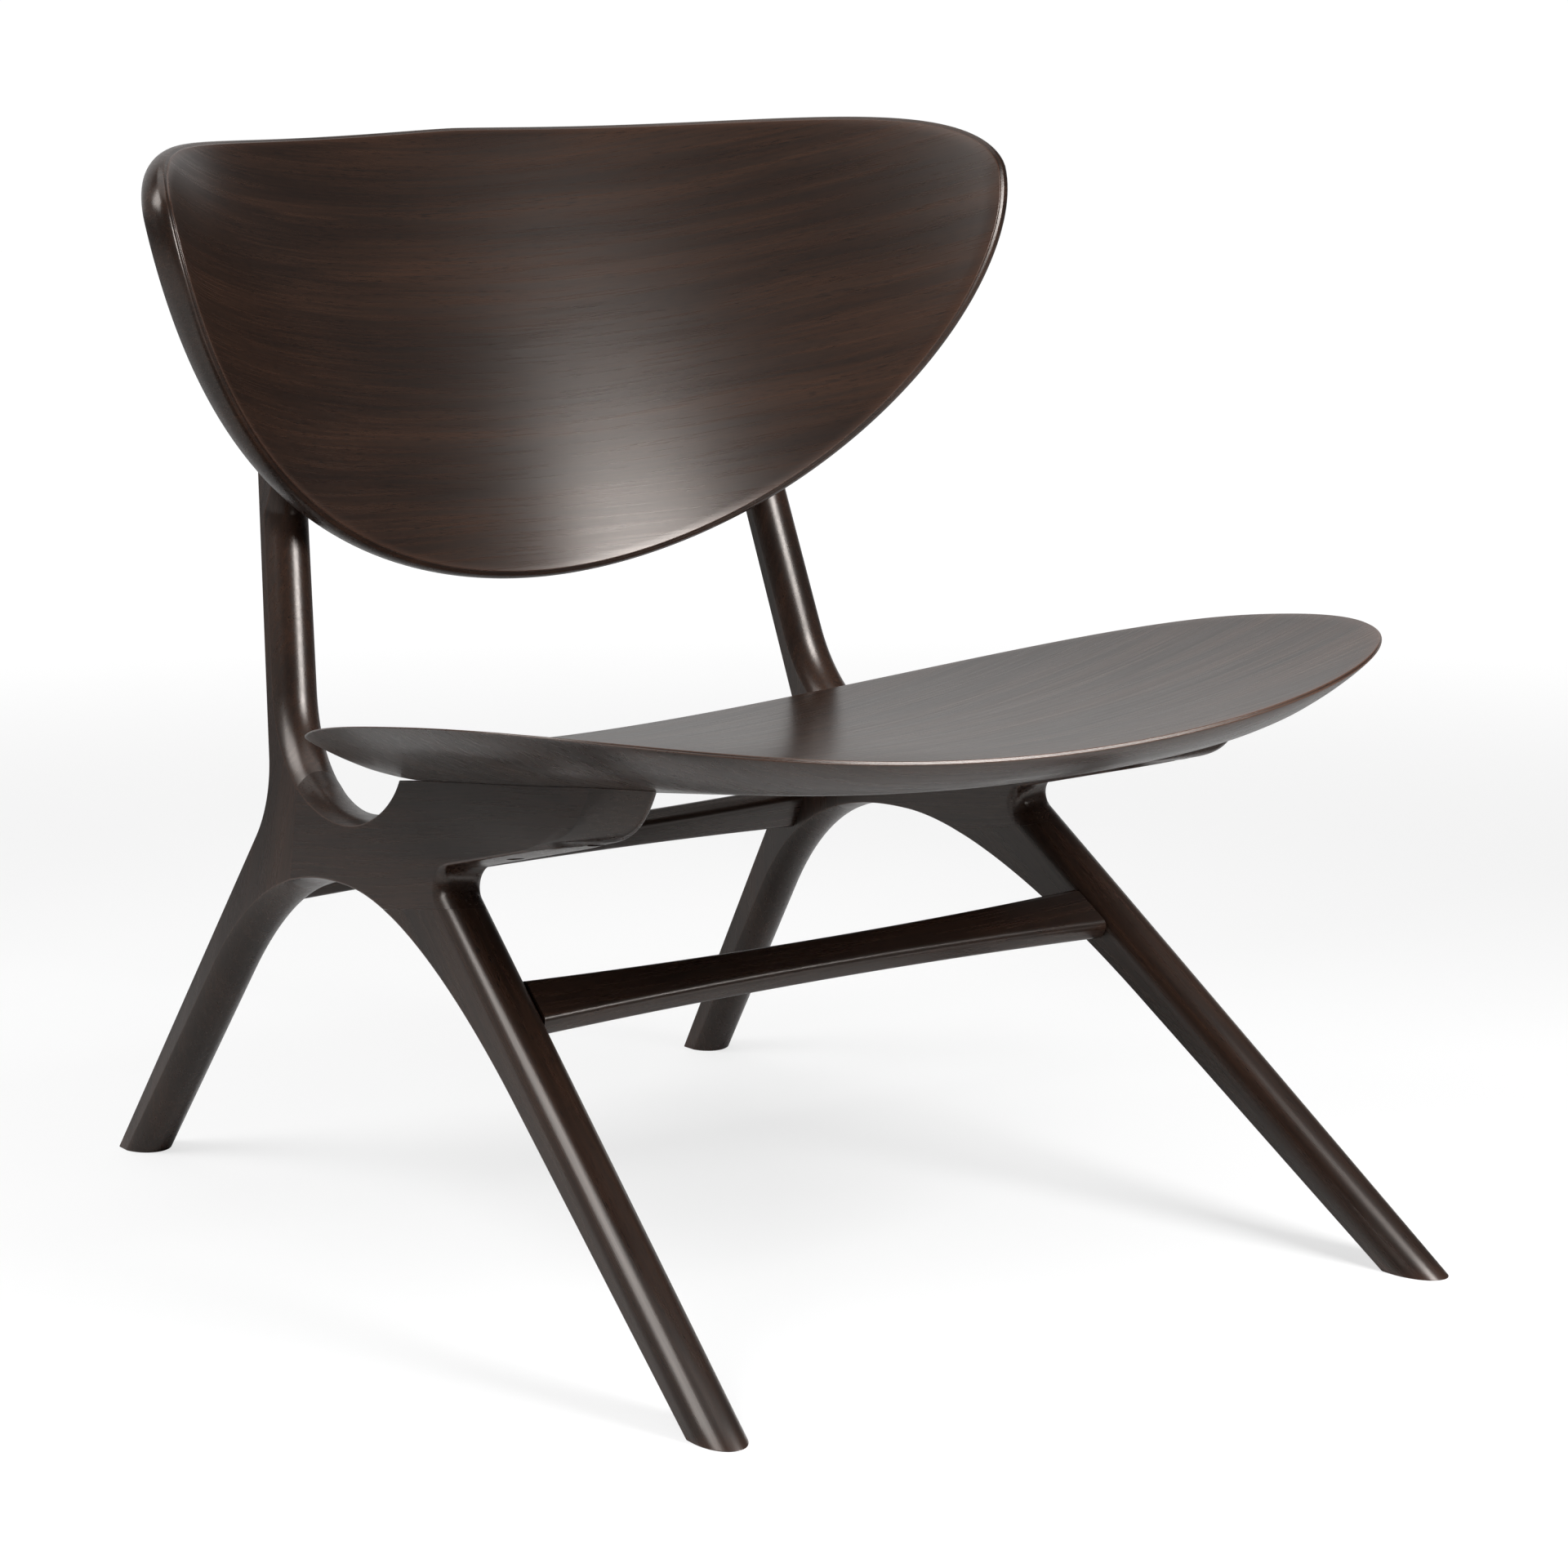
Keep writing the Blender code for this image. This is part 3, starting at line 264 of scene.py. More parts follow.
def cut_sole(mesh):
    """Cut a leg level with the floor, close the sole and round its rim with a bevel."""
    work = bmesh.new()
    work.from_mesh(mesh)
    whole = list(work.verts) + list(work.edges) + list(work.faces)
    cut = bmesh.ops.bisect_plane(work, geom=whole, plane_co=(0, 0, 0), plane_no=(0, 0, 1),
                                 clear_inner=True)
    rim = [e for e in cut["geom_cut"] if isinstance(e, bmesh.types.BMEdge)]
    bmesh.ops.contextual_create(work, geom=rim)
    bmesh.ops.bevel(work, geom=rim, offset=SOLE_BEVEL, segments=5, profile=0.5,
                    affect="EDGES", clamp_overlap=True)
    bmesh.ops.recalc_face_normals(work, faces=work.faces)
    work.to_mesh(mesh)
    work.free()
    return mesh


# %% [markdown]
# ## Edges of a plank
# The planks are flat on both sides, and what makes them look carved is how their edges are
# rounded: almost square along the seat rail and under the arch, nearly half round down the front
# leg, a shallow round on the post and the rear leg. Each point of the outline therefore carries
# a rise, the depth of its arc at the face of the plank, and an arris, the radius where the arc
# meets the face. At one level of the thickness the outline moves inward by that arc.

# %% Rounded edges
ARRIS = 0.0011  # a plain eased corner
SEAM_ARRIS = 0.00003  # a glue line stays sharp
LEAST_RISE = 2e-5
SMOOTH_TURN = 0.97  # cosine above which two edges count as one curve
FACE_STEP = 0.0005  # how far the last ring is set in on a flat face
ARC_LEVELS = 12
CORNER_LEVELS = 7


def edge_depth(rise, arris, level):
    """Set-back at a level: a circle of radius (half^2 + rise^2) / 2 rise, with a tangent fillet."""
    rise = np.maximum(rise, LEAST_RISE)
    n = abs(level) * HALF
    radius = (HALF**2 + rise**2) / (2.0 * rise)
    arc = radius - np.sqrt(np.maximum(radius**2 - n**2, 0.0))
    hub = radius - np.sqrt(np.maximum((radius - arris)**2 - (HALF - arris)**2, 0.0))
    fillet = hub - np.sqrt(np.maximum(arris**2 - (n - HALF + arris)**2, 0.0))
    meet = radius * (HALF - arris) / (radius - arris)
    return np.where(n > meet, fillet, arc)


def inset(points, arriving, leaving, level, extra):
    """Outline moved in by each edge's set-back; at sharp corners two moved edges cross."""
    into = unit(points - np.roll(points, 1, 0))
    away = unit(np.roll(points, -1, 0) - points)
    n_in = np.stack([-into[:, 1], into[:, 0]], 1)
    n_out = np.stack([-away[:, 1], away[:, 0]], 1)
    first = edge_depth(arriving[:, 0], arriving[:, 1], level) + extra
    second = edge_depth(leaving[:, 0], leaving[:, 1], level) + extra
    likeness = np.sum(n_in * n_out, 1)
    smooth_move = (0.5 * (first + second) / (1.0 + likeness))[:, None] * (n_in + n_out)
    cross = n_in[:, 0] * n_out[:, 1] - n_in[:, 1] * n_out[:, 0]
    cross = np.where(np.abs(cross) < 1e-9, 1.0, cross)
    corner_move = np.stack([first * n_out[:, 1] - second * n_in[:, 1],
                            second * n_in[:, 0] - first * n_out[:, 0]], 1) / cross[:, None]
    return points + np.where((likeness > SMOOTH_TURN)[:, None], smooth_move, corner_move)


def edge_levels():
    """Levels through the thickness from -1 to 1: sines, so they crowd toward both faces."""
    share = ARRIS / HALF
    arc = np.sin(np.linspace(0.0, math.asin(1.0 - share), ARC_LEVELS))
    turn = np.linspace(0.0, 0.5 * math.pi, CORNER_LEVELS)[1:]
    half = np.concatenate([arc, 1.0 - share * (1.0 - np.sin(turn))])
    return np.concatenate([-half[:0:-1], half])


def plank(name, side, runs):
    """Rings of a plank: its outline at each level, and one more set in on each flat face."""
    points = np.concatenate([p for p, _ in runs])
    edges = np.concatenate([e for _, e in runs])
    # where two runs meet, one point is kept with the edge of the run before and of the run after
    fresh = np.linalg.norm(points - np.roll(points, 1, 0), axis=1) > 1e-6
    start = np.flatnonzero(fresh)
    stop = np.roll(start, -1) - 1
    arriving = edges[start]
    leaving = edges[stop]
    if not fresh[0]:
        leaving[-1] = edges[0]
    levels = edge_levels()
    rows = [(level, 0.0) for level in levels]
    rows = [(levels[0], FACE_STEP)] + rows + [(levels[-1], FACE_STEP)]
    rings = []
    for level, extra in rows:
        flat = inset(points[start], arriving, leaving, level, extra)
        rings.append(on_frame(side, flat[:, 0], flat[:, 1], level * HALF))
    return skin(name, rings)


print("levels through a plank:", len(edge_levels()))

# %% [markdown]
# ## Outlines of the three planks
# A side frame is three planks glued edge to edge: the rear leg with the post, the hub with the
# seat rail, and the front leg. Their outlines share four long curves, two in the arch under the
# hub and two in the hollow behind the seat, and each curve simply stops at the glue line. A run
# is a stretch of outline with the rise and the arris at each of its points. Close to a sharp
# corner a moved outline could cross itself, so points that lie too near to one are left out.

# %% Runs of an outline
UNDER_FLOOR = 0.005


def bezier(bends, t):
    """Cubic curve through its first and last point, pulled by the two between."""
    p0, p1, p2, p3 = [np.asarray(p, float) for p in bends]
    t = np.asarray(t, float)[:, None]
    s = 1.0 - t
    return s**3 * p0 + 3.0 * s * s * t * p1 + 3.0 * s * t * t * p2 + t**3 * p3


def ease(t):
    """Smooth step from 0 to 1: 3 t^2 - 2 t^3."""
    return t * t * (3.0 - 2.0 * t)


def run(points, rise, arris=ARRIS):
    """Points of an outline, and a rise and an arris at each of them."""
    points = np.asarray(points, float)
    edges = np.empty((len(points), 2))
    edges[:, 0] = rise
    edges[:, 1] = arris
    return points, edges


def curve(bends, start, end, count, first_rise, last_rise):
    """Stretch of a cubic curve; the rise eases from its value at t = 0 to its value at t = 1."""
    t = np.linspace(start, end, count)
    return run(bezier(bends, t), first_rise + (last_rise - first_rise) * ease(t))


def straight(a, b, count, rise, arris=ARRIS):
    """Even points from a to b: a (1 - t) + b t."""
    t = np.linspace(0.0, 1.0, count)[:, None]
    return run(np.asarray(a, float) * (1.0 - t) + np.asarray(b, float) * t, rise, arris)


def spaced(outline, corner, distance):
    """A run without the points that lie nearer to a corner than that, except the corner itself."""
    points, edges = outline
    far = np.linalg.norm(points - corner, axis=1)
    keep = (far > distance) | (far < 1e-9)
    return points[keep], edges[keep]


def toward(a, b, distance):
    """Point at a distance from a on the line to b."""
    a, b = np.asarray(a, float), np.asarray(b, float)
    return a + unit(b - a) * distance


def past_floor(high, low):
    """A leg edge run on a little under the floor, so that the sole can be cut level."""
    high, low = np.asarray(high, float), np.asarray(low, float)
    return low + (low - high) * UNDER_FLOOR / (high[1] - low[1])


def meets(bends, point, normal):
    """Place along a curve where it crosses a straight glue line, by halving."""
    low, high = 0.0, 1.0
    sign = (bezier(bends, [0.0])[0] - point) @ normal
    for _ in range(48):
        mid = 0.5 * (low + high)
        if ((bezier(bends, [mid])[0] - point) @ normal) * sign > 0.0:
            low = mid
        else:
            high = mid
    return 0.5 * (low + high)


def rounded_corner(before, corner, after, radius, count):
    """Arc of that radius in a corner, tangent to both of its sides."""
    before, corner, after = [np.asarray(p, float) for p in (before, corner, after)]
    a, b = unit(before - corner), unit(after - corner)
    half = 0.5 * math.acos(float(a @ b))
    hub = corner + unit(a + b) * radius / math.sin(half)
    first = corner + a * radius / math.tan(half) - hub
    last = corner + b * radius / math.tan(half) - hub
    sweep = math.atan2(first[0] * last[1] - first[1] * last[0], float(first @ last))
    angle = math.atan2(first[1], first[0]) + sweep * np.linspace(0.0, 1.0, count)
    return hub + radius * np.stack([np.cos(angle), np.sin(angle)], 1)


# %% Rises, radii and shared points of a side frame
PLAIN = 0.001  # rises
BACK = 0.002
POST = 0.012
REAR_LEG = 0.0125
HOLLOW = 0.0085
LEG_FOOT = 0.0165  # arrises
LEG_TOP = 0.0125
UNDER_RAIL = 0.0018
SEAM_GAP = 0.00004

heel = (0.389, 0.0)
bend = (0.202, 0.282)
post_back = (0.2595, 0.5058)
post_top = (0.306, 0.635)
post_low = (0.1982, 0.36)
post_high = (0.23, 0.4742)
rear_high = (0.255, 0.1485)
rear_toe = (0.359, 0.0)
arch_top = np.array((0.085, 0.244))
hollow_low = np.array((0.104, 0.2916))
rail_back = (0.0277, 0.3251)
rail_tip = (-0.2545, 0.372)
rail_under = (-0.208, 0.3251)
notch = (-0.0231, 0.2753)
leg_low = (-0.15, 0.148)
sole_back = (-0.3706, 0.0)
sole_tip = (-0.4084, 0.0)
print("rail from tip to hollow:", np.linalg.norm(np.subtract(rail_tip, rail_back)).round(4))

# %% Shared curves and glue lines
level = np.array((1.0, 0.0))
tip_slope = np.array((0.28, -0.96))
hollow_front = (rail_back, toward(rail_back, hollow_low - 0.0646 * level, 0.02),
                hollow_low - 0.038 * level, hollow_low)
hollow_rear = (hollow_low, hollow_low + 0.046 * level,
               toward(post_low, post_high, -0.046), post_low)
arch_front = (leg_low, toward(leg_low, sole_back, -0.1), arch_top - 0.065 * level, arch_top)
arch_rear = (arch_top, arch_top + 0.06 * level, toward(rear_high, rear_toe, -0.09), rear_high)
rail_end = (rail_tip, toward(rail_tip, np.array(rail_tip) + tip_slope, 0.030),
            toward(rail_under, notch, -0.026), rail_under)
seam_point = np.array((RAIL_SEAM, 0.0))
seam_normal = level
leg_seam_point = np.array((-0.019, 0.2488))
leg_seam_line = unit((1.0, -0.187))
leg_seam_normal = np.array((-leg_seam_line[1], leg_seam_line[0]))


def leg_front(offset):
    """Point where the front edge of the front leg meets a line beside its glue line."""
    tip = np.array(sole_tip)
    slope = unit(np.array(notch) - tip)
    base = leg_seam_point + leg_seam_normal * offset
    return tip + slope * (((base - tip) @ leg_seam_normal) / (slope @ leg_seam_normal))


def leg_round(points):
    """Arris of the front leg's front edge, falling evenly from the foot to the notch."""
    reach = np.linalg.norm(np.array(notch) - sole_tip)
    far = np.linalg.norm(np.atleast_2d(points) - sole_tip, axis=1)
    share = np.minimum(far / reach, 1.0)
    return LEG_FOOT + share * (LEG_TOP - LEG_FOOT)


seam_front = leg_front(0.0)
print("front leg edge at the seam:", seam_front.round(4), leg_round(seam_front).round(5))

# %% [markdown]
# ## The rear leg with the post
# One bent piece on each side stands on the floor behind and carries the back. A maker saws it
# from a wide plank. Its back is nearly square and turns in one wide arc, while its front runs
# into the hollow above the hub and into the arch below it.

# %% The rear leg and post
BEND_RADIUS = 0.069
POST_TOP_DEPTH = 0.05


def rear_leg_runs():
    """Up the back, over the post top, down its front, through hollow, glue line, arch and leg."""
    seam = seam_point + 0.5 * SEAM_GAP * seam_normal
    hollow_t = meets(hollow_rear, seam, seam_normal)
    arch_t = meets(arch_rear, seam, seam_normal)
    toe = past_floor(rear_high, rear_toe)
    low_heel = past_floor(bend, heel)
    top = np.array(post_top)
    lean = unit(top - post_back)
    top_front = top + POST_TOP_DEPTH * np.array((-lean[1], lean[0]))
    corner = rounded_corner(heel, bend, post_back, BEND_RADIUS, 40)
    upper_back = (post_back, toward(post_back, bend, -0.05), top - lean * 0.045, post_top)
    upper_front = (top_front, top_front - lean * 0.07,
                   np.array(post_high) + (-0.004, 0.03), post_high)
    steps = np.linspace(0.0, 1.0, 40)
    hollow = curve(hollow_rear, 1.0, hollow_t, 50, HOLLOW, POST)
    arch = curve(arch_rear, arch_t, 1.0, 50, PLAIN, REAR_LEG)
    return [
        straight(toe, low_heel, 2, 0.0),
        straight(low_heel, corner[0], 8, BACK),
        run(corner, BACK),
        straight(corner[-1], post_back, 6, BACK),
        curve(upper_back, 0.0, 1.0, 16, BACK, BACK),
        straight(post_top, top_front, 2, BACK),
        run(bezier(upper_front, steps), PLAIN + (POST - PLAIN) * steps**4),
        straight(post_high, post_low, 10, POST),
        hollow,
        straight(hollow[0][-1], arch[0][0], 2, 0.0, SEAM_ARRIS),
        arch,
        straight(rear_high, toe, 8, REAR_LEG),
    ]


print("runs of the rear leg:", len(rear_leg_runs()))

# %% [markdown]
# ## The hub with the seat rail
# This piece holds everything together: the rear leg and the front leg are glued to it, and the
# seat lies on its rail. Its outline goes round the notch above the front leg, where the edge
# opens from the nearly square rail to the round of the leg.

# %% The hub and rail
NOTCH_RADIUS = 0.010


def seat_rail_runs():
    """Round the tip, under the rail, round the notch, along both glue lines, arch and hollow."""
    seam = seam_point - 0.5 * SEAM_GAP * seam_normal
    leg_seam = leg_seam_point + 0.5 * SEAM_GAP * leg_seam_normal
    hollow_t = meets(hollow_rear, seam, seam_normal)
    arch_t = meets(arch_rear, seam, seam_normal)
    leg_t = meets(arch_front, leg_seam, leg_seam_normal)
    corner = rounded_corner(rail_under, notch, sole_tip, NOTCH_RADIUS, 40)
    corner_share = ease(np.linspace(0.0, 1.0, len(corner)))
    corner_round = UNDER_RAIL + (leg_round(corner[-1]) - UNDER_RAIL) * corner_share
    below = np.stack([corner[-1], leg_front(0.5 * SEAM_GAP)])
    tip = curve(rail_end, 0.0, 1.0, 40, PLAIN, PLAIN)
    arch_fore = curve(arch_front, leg_t, 1.0, 36, PLAIN, PLAIN)
    arch_aft = curve(arch_rear, 0.0, arch_t, 30, PLAIN, REAR_LEG)
    arch_aft = spaced(arch_aft, arch_aft[0][-1], 0.012)
    hollow = curve(hollow_rear, hollow_t, 0.0, 36, HOLLOW, POST)
    hollow = spaced(hollow, hollow[0][0], 0.014)
    return [
        spaced(tip, rail_tip, 0.007),
        straight(rail_under, corner[0], 10, PLAIN, UNDER_RAIL),
        run(corner, PLAIN, corner_round),
        run(below, PLAIN, leg_round(below)),
        straight(below[-1], arch_fore[0][0], 2, 0.0, SEAM_ARRIS),
        arch_fore,
        arch_aft,
        straight(arch_aft[0][-1], hollow[0][0], 2, 0.0, SEAM_ARRIS),
        hollow,
        curve(hollow_front, 1.0, 0.0, 50, 0.0, HOLLOW),
        straight(rail_back, rail_tip, 12, 0.0),
    ]


print("runs of the hub and rail:", len(seat_rail_runs()))

# %% [markdown]
# ## The bow at the end of a rail
# The free end of a rail narrows like the bow of a boat, from the full plank to a thin lip under
# the rim of the seat. A spokeshave would take that wood off, so here a curved cutter takes it off
# each face. What it leaves grows from the lip to the full plank along a parabola.

# %% Wood to take off a rail end
BOW_LENGTH = 0.052
BOW_LIP = 0.0015  # half thickness left at the very end
BOW_LEAST = 0.0003  # where the lip curls in
BOW_CURL = 0.0016
BOW_BEFORE = 0.006  # how far the cutter starts in front of the end
BOW_OUTSIDE = 0.032


def rail_bow(side, face):
    """Wall at half thickness lip + (half - lip)(1 - (1 - s/L)^2), s behind the end of the rail."""
    back = unit(np.array(rail_back) - rail_tip)
    above = np.array(rail_tip) - unit(tip_slope) * 0.012
    low = np.array(rail_under) + (back + (0.0, -0.4)) * BOW_LENGTH
    under = (rail_under, toward(rail_under, notch, 0.016), low + (0.0, 0.010), low)
    edge = np.concatenate([[above], bezier(rail_end, np.linspace(0.0, 1.0, 40)),
                           bezier(under, np.linspace(0.0, 1.0, 20)[1:])])
    s = np.concatenate([[-BOW_BEFORE], BOW_CURL * np.linspace(0.0, 1.0, 8)**2,
                        np.linspace(0.0025, BOW_LENGTH, 36)])
    share = 1.0 - np.clip(s / BOW_LENGTH, 0.0, 1.0)
    half = BOW_LIP + (HALF + 0.0001 - BOW_LIP) * (1.0 - share**2)
    curl = 1.0 - np.clip(s / BOW_CURL, 0.0, 1.0)
    half = half - (BOW_LIP - BOW_LEAST) * (1.0 - np.sqrt(1.0 - curl**2))
    s = np.append(s, [BOW_LENGTH, -BOW_BEFORE])
    half = np.append(half, [BOW_OUTSIDE, BOW_OUTSIDE])
    flat = edge[:, None] + s[None, :, None] * back
    return skin("bow", on_frame(side, flat[..., 0], flat[..., 1], face * half[None]))


# %% [markdown]
# ## The front leg
# The front leg rakes far forward. Its front edge is nearly half round at the foot and a little
# less so toward the notch, and its back edge stays plain and runs into the arch.

# %% The raked leg
def front_leg_runs():
    """Down the rounded front edge, across the sole, up the back edge, arch and glue line."""
    leg_seam = leg_seam_point - 0.5 * SEAM_GAP * leg_seam_normal
    leg_t = meets(arch_front, leg_seam, leg_seam_normal)
    tip = past_floor(notch, sole_tip)
    back = past_floor(leg_low, sole_back)
    nose, _ = straight(leg_front(-0.5 * SEAM_GAP), tip, 14, PLAIN)
    arch = curve(arch_front, 0.0, leg_t, 60, PLAIN, PLAIN)
    arch = spaced(arch, arch[0][-1], 0.014)
    return [
        run(nose, PLAIN, leg_round(nose)),
        straight(tip, back, 2, 0.0),
        straight(back, leg_low, 8, PLAIN),
        arch,
        straight(arch[0][-1], nose[0], 2, 0.0, SEAM_ARRIS),
    ]


print("runs of the front leg:", len(front_leg_runs()))

# %% [markdown]
# ## Shells
# The seat and the back are boards with an oval outline, bent round a cylinder. The outline is a
# superellipse whose two halves differ, with its middle line swept into an arc. The face is that
# outline shrunk toward its middle in rings. Past the crisp front edge comes the rim, a smooth
# curve of spread against depth, and behind it the back face shrinks to the middle again.

# %% Outline and rim of a shell
FACE_RINGS = 33
EDGE_RINGS = 7
SHELL_ARRIS = 0.0009


def oval(half_width, upper, lower, upper_power, lower_power, sweep, count=440):
    """Superellipse halves |x/a|^p + |y/b|^p = 1, plus sweep times x^2, in even steps."""
    angle = np.linspace(0.0, 2.0 * math.pi, 6001)
    c, s = np.cos(angle), np.sin(angle)
    power = 2.0 / np.where(s >= 0.0, upper_power, lower_power)
    across = half_width * np.sign(c) * np.abs(c)**power
    up = np.where(s >= 0.0, upper, lower) * np.sign(s) * np.abs(s)**power + sweep * across**2
    path = np.concatenate([[0.0], np.cumsum(np.hypot(np.diff(across), np.diff(up)))])
    even = np.linspace(0.0, path[-1], count, endpoint=False)
    return np.stack([np.interp(even, path, across), np.interp(even, path, up)], 1)


def rim_curve(knots, count=7):
    """Cubic pieces with chord slopes through pairs of spread and depth share, level at the end."""
    knots = np.asarray(knots, float)
    slope = np.gradient(knots, axis=0)
    slope[0] = (0.0, knots[1, 1] - knots[0, 1])
    slope[-1] = (knots[-1, 0] - knots[-2, 0], 0.0)
    t = np.linspace(0.0, 1.0, count, endpoint=False)[None, :, None]
    a, b = knots[:-1, None], knots[1:, None]
    da, db = slope[:-1, None], slope[1:, None]
    h = (2 * t**3 - 3 * t**2 + 1) * a + (t**3 - 2 * t**2 + t) * da
    h = h + (3 * t**2 - 2 * t**3) * b + (t**3 - t**2) * db
    return np.concatenate([h.reshape(-1, 2), knots[-1:]])


def shell(name, outline, knots, widths, place, thick, grow=0.0, lift=0.0):
    """Rings over the front face, round the eased front edge and rim, and over the back face."""
    step = np.roll(outline, -1, 0) - np.roll(outline, 1, 0)
    normal = unit(np.stack([step[:, 1], -step[:, 0]], 1))
    shares = np.linspace(0.0, 1.0, FACE_RINGS)[1:]
    face = (outline - normal * SHELL_ARRIS).T
    top = 0.0 * outline[:, 0] - lift
    rings = [place(*face * share, top) for share in shares[:-1]]
    for turn in np.linspace(0.0, 0.5 * math.pi, EDGE_RINGS):
        flat = outline + normal * (grow - SHELL_ARRIS * (1.0 - math.sin(turn)))
        rings.append(place(*flat.T, np.full(len(flat), SHELL_ARRIS * (1.0 - math.cos(turn)))))
    for spread, depth in rim_curve(knots)[1:]:
        flat = outline + normal * (spread * widths + grow)[:, None]
        body = thick(*flat.T) - SHELL_ARRIS
        rings.append(place(*flat.T, SHELL_ARRIS + depth * body + grow))
    inner = (outline + normal * (knots[-1][0] * widths + grow)[:, None]).T
    rings += [place(*inner * share, thick(*inner * share) + grow) for share in shares[::-1][1:]]
    zero = np.zeros(1)
    front_pole = place(zero, zero, zero - lift)[0]
    back_pole = place(zero, zero, thick(zero, zero) + grow)[0]
    return skin(name, rings, (front_pole, back_pole))


# %% [markdown]
# ## The seat board
# The seat is bent across the chair, dished a little from front to back and tilted down behind.
# It is thickest near the rails, and a long bevel under its rim thins it so that from the front
# it looks like a leaf. The thickness is a soft minimum of the full board and that bevel.

# %% Seat shell
SEAT_MID = (-0.0594, 0.3340)
SEAT_TILT = 0.1337
SEAT_BEND = 1.258
SEAT_DISH = 0.043
SEAT_HALF = 0.3669
SEAT_THICK = 0.0165
SEAT_TAPER = 0.006  # thinner toward the back
SEAT_GAIN = 0.110  # thicker toward the rails
TIP_THICK = 0.0030
BEVEL_SLOPE = 0.185
BEVEL_SWELL = 4.4  # how much wider the rim is beside the tips
SEAT_KNOTS = ((0.0, 0.0), (0.0002, 0.10), (-0.0040, 0.32),
              (-0.0110, 0.57), (-0.0210, 0.82), (-0.0360, 1.0))
seat_outline = oval(SEAT_HALF, upper=0.2542, lower=0.3241, upper_power=2.29,
                    lower_power=2.19, sweep=-0.69)
tip_share = np.abs(seat_outline[:, 0] / SEAT_HALF)**4
seat_widths = 1.0 + BEVEL_SWELL * tip_share * (1.0 - tip_share)


def seat_place(across, along, depth):
    """Bent about a line above the seat, dished along its depth, then tilted down to the back."""
    turn = across / SEAT_BEND
    lift = SEAT_BEND - (SEAT_BEND + depth) * np.cos(turn) + SEAT_DISH * along**2
    c, s = math.cos(SEAT_TILT), math.sin(SEAT_TILT)
    x = (SEAT_BEND + depth) * np.sin(turn)
    y = SEAT_MID[0] + c * along + s * lift
    z = SEAT_MID[1] - s * along + c * lift
    return np.stack([x, y, z], -1) + SLIDE


def seat_thick(across, along):
    """Soft minimum (a^-4 + b^-4)^(-1/4) of the full board and the bevel to the tips."""
    full = SEAT_THICK - SEAT_TAPER * along + SEAT_GAIN * across**2
    bevel = TIP_THICK + BEVEL_SLOPE * np.maximum(SEAT_HALF - np.abs(across), 0.0)
    return (full**-4 + bevel**-4)**-0.25


def seat_grain(place):
    """Back from a point to its place in the board: across, along, depth."""
    x, y, z = (place - SLIDE).T
    y, z = y - SEAT_MID[0], z - SEAT_MID[1]
    c, s = math.cos(SEAT_TILT), math.sin(SEAT_TILT)
    along, lift = c * y - s * z, s * y + c * z
    hub = SEAT_BEND - lift + SEAT_DISH * along**2
    return np.stack([SEAT_BEND * np.arctan2(x, hub), along, np.hypot(x, hub) - SEAT_BEND], 1)


SEAT_FORM = (seat_outline, SEAT_KNOTS, seat_widths, seat_place, seat_thick)
print("seat points round the edge:", len(seat_outline))

# %% [markdown]
# ## The back board
# The back has one thickness. It is bent round the sitter on a much smaller radius than the seat
# and leans back, and its rim bulges a little before it turns in behind.

# %% Back shell
BACK_MID = (0.2746, 0.5691)
BACK_LEAN = 0.3764
BACK_BEND = 0.4166
BACK_THICK = 0.021
BACK_KNOTS = ((0.0, 0.0), (0.0022, 0.10), (0.0030, 0.32),
              (0.0008, 0.62), (-0.0045, 0.88), (-0.0120, 1.0))
back_outline = oval(0.3953, upper=0.1634, lower=0.1622, upper_power=1.656,
                    lower_power=1.943, sweep=0.4128)
back_widths = np.ones(len(back_outline))


def back_place(across, up, depth):
    """Bent about a line in front of the back, then leant back."""
    turn = across / BACK_BEND
    fore = BACK_BEND - (BACK_BEND + depth) * np.cos(turn)
    c, s = math.cos(BACK_LEAN), math.sin(BACK_LEAN)
    x = (BACK_BEND + depth) * np.sin(turn)
    y = BACK_MID[0] + s * up - c * fore
    z = BACK_MID[1] + c * up + s * fore
    return np.stack([x, y, z], -1) + SLIDE


def back_thick(across, up):
    """The same thickness everywhere."""
    return np.full(np.shape(across), BACK_THICK)


def back_grain(place):
    """Back from a point to its place in the board: across round the bend, up, depth."""
    x, y, z = (place - SLIDE).T
    y, z = y - BACK_MID[0], z - BACK_MID[1]
    c, s = math.cos(BACK_LEAN), math.sin(BACK_LEAN)
    up, hub = s * y + c * z, BACK_BEND - (s * z - c * y)
    return np.stack([BACK_BEND * np.arctan2(x, hub), up, np.hypot(x, hub) - BACK_BEND], 1)


BACK_FORM = (back_outline, BACK_KNOTS, back_widths, back_place, back_thick)
print("back points round the edge:", len(back_outline))

# %% [markdown]
# ## Cross members
# Both cross members are slim bars with a waist: their width falls as the square of the distance
# from the frame. Their ends lie against the leaning inner faces of the frames, so each section
# is slid along until it touches that plane, and a stub tenon goes on into the leg.

# %% Waisted bars and their mortises
BAR_THICK = 0.0170
BAR_CORNER = 0.0055
BAR_SECTIONS = 61
TENON_LENGTH = 0.015
TENON_WIDTH = 0.020
TENON_THICK = 0.0095
TENON_CORNER = 0.002
MORTISE_OPEN = 0.004  # how far its cutter starts outside the leg
CORNER_POINTS = 8


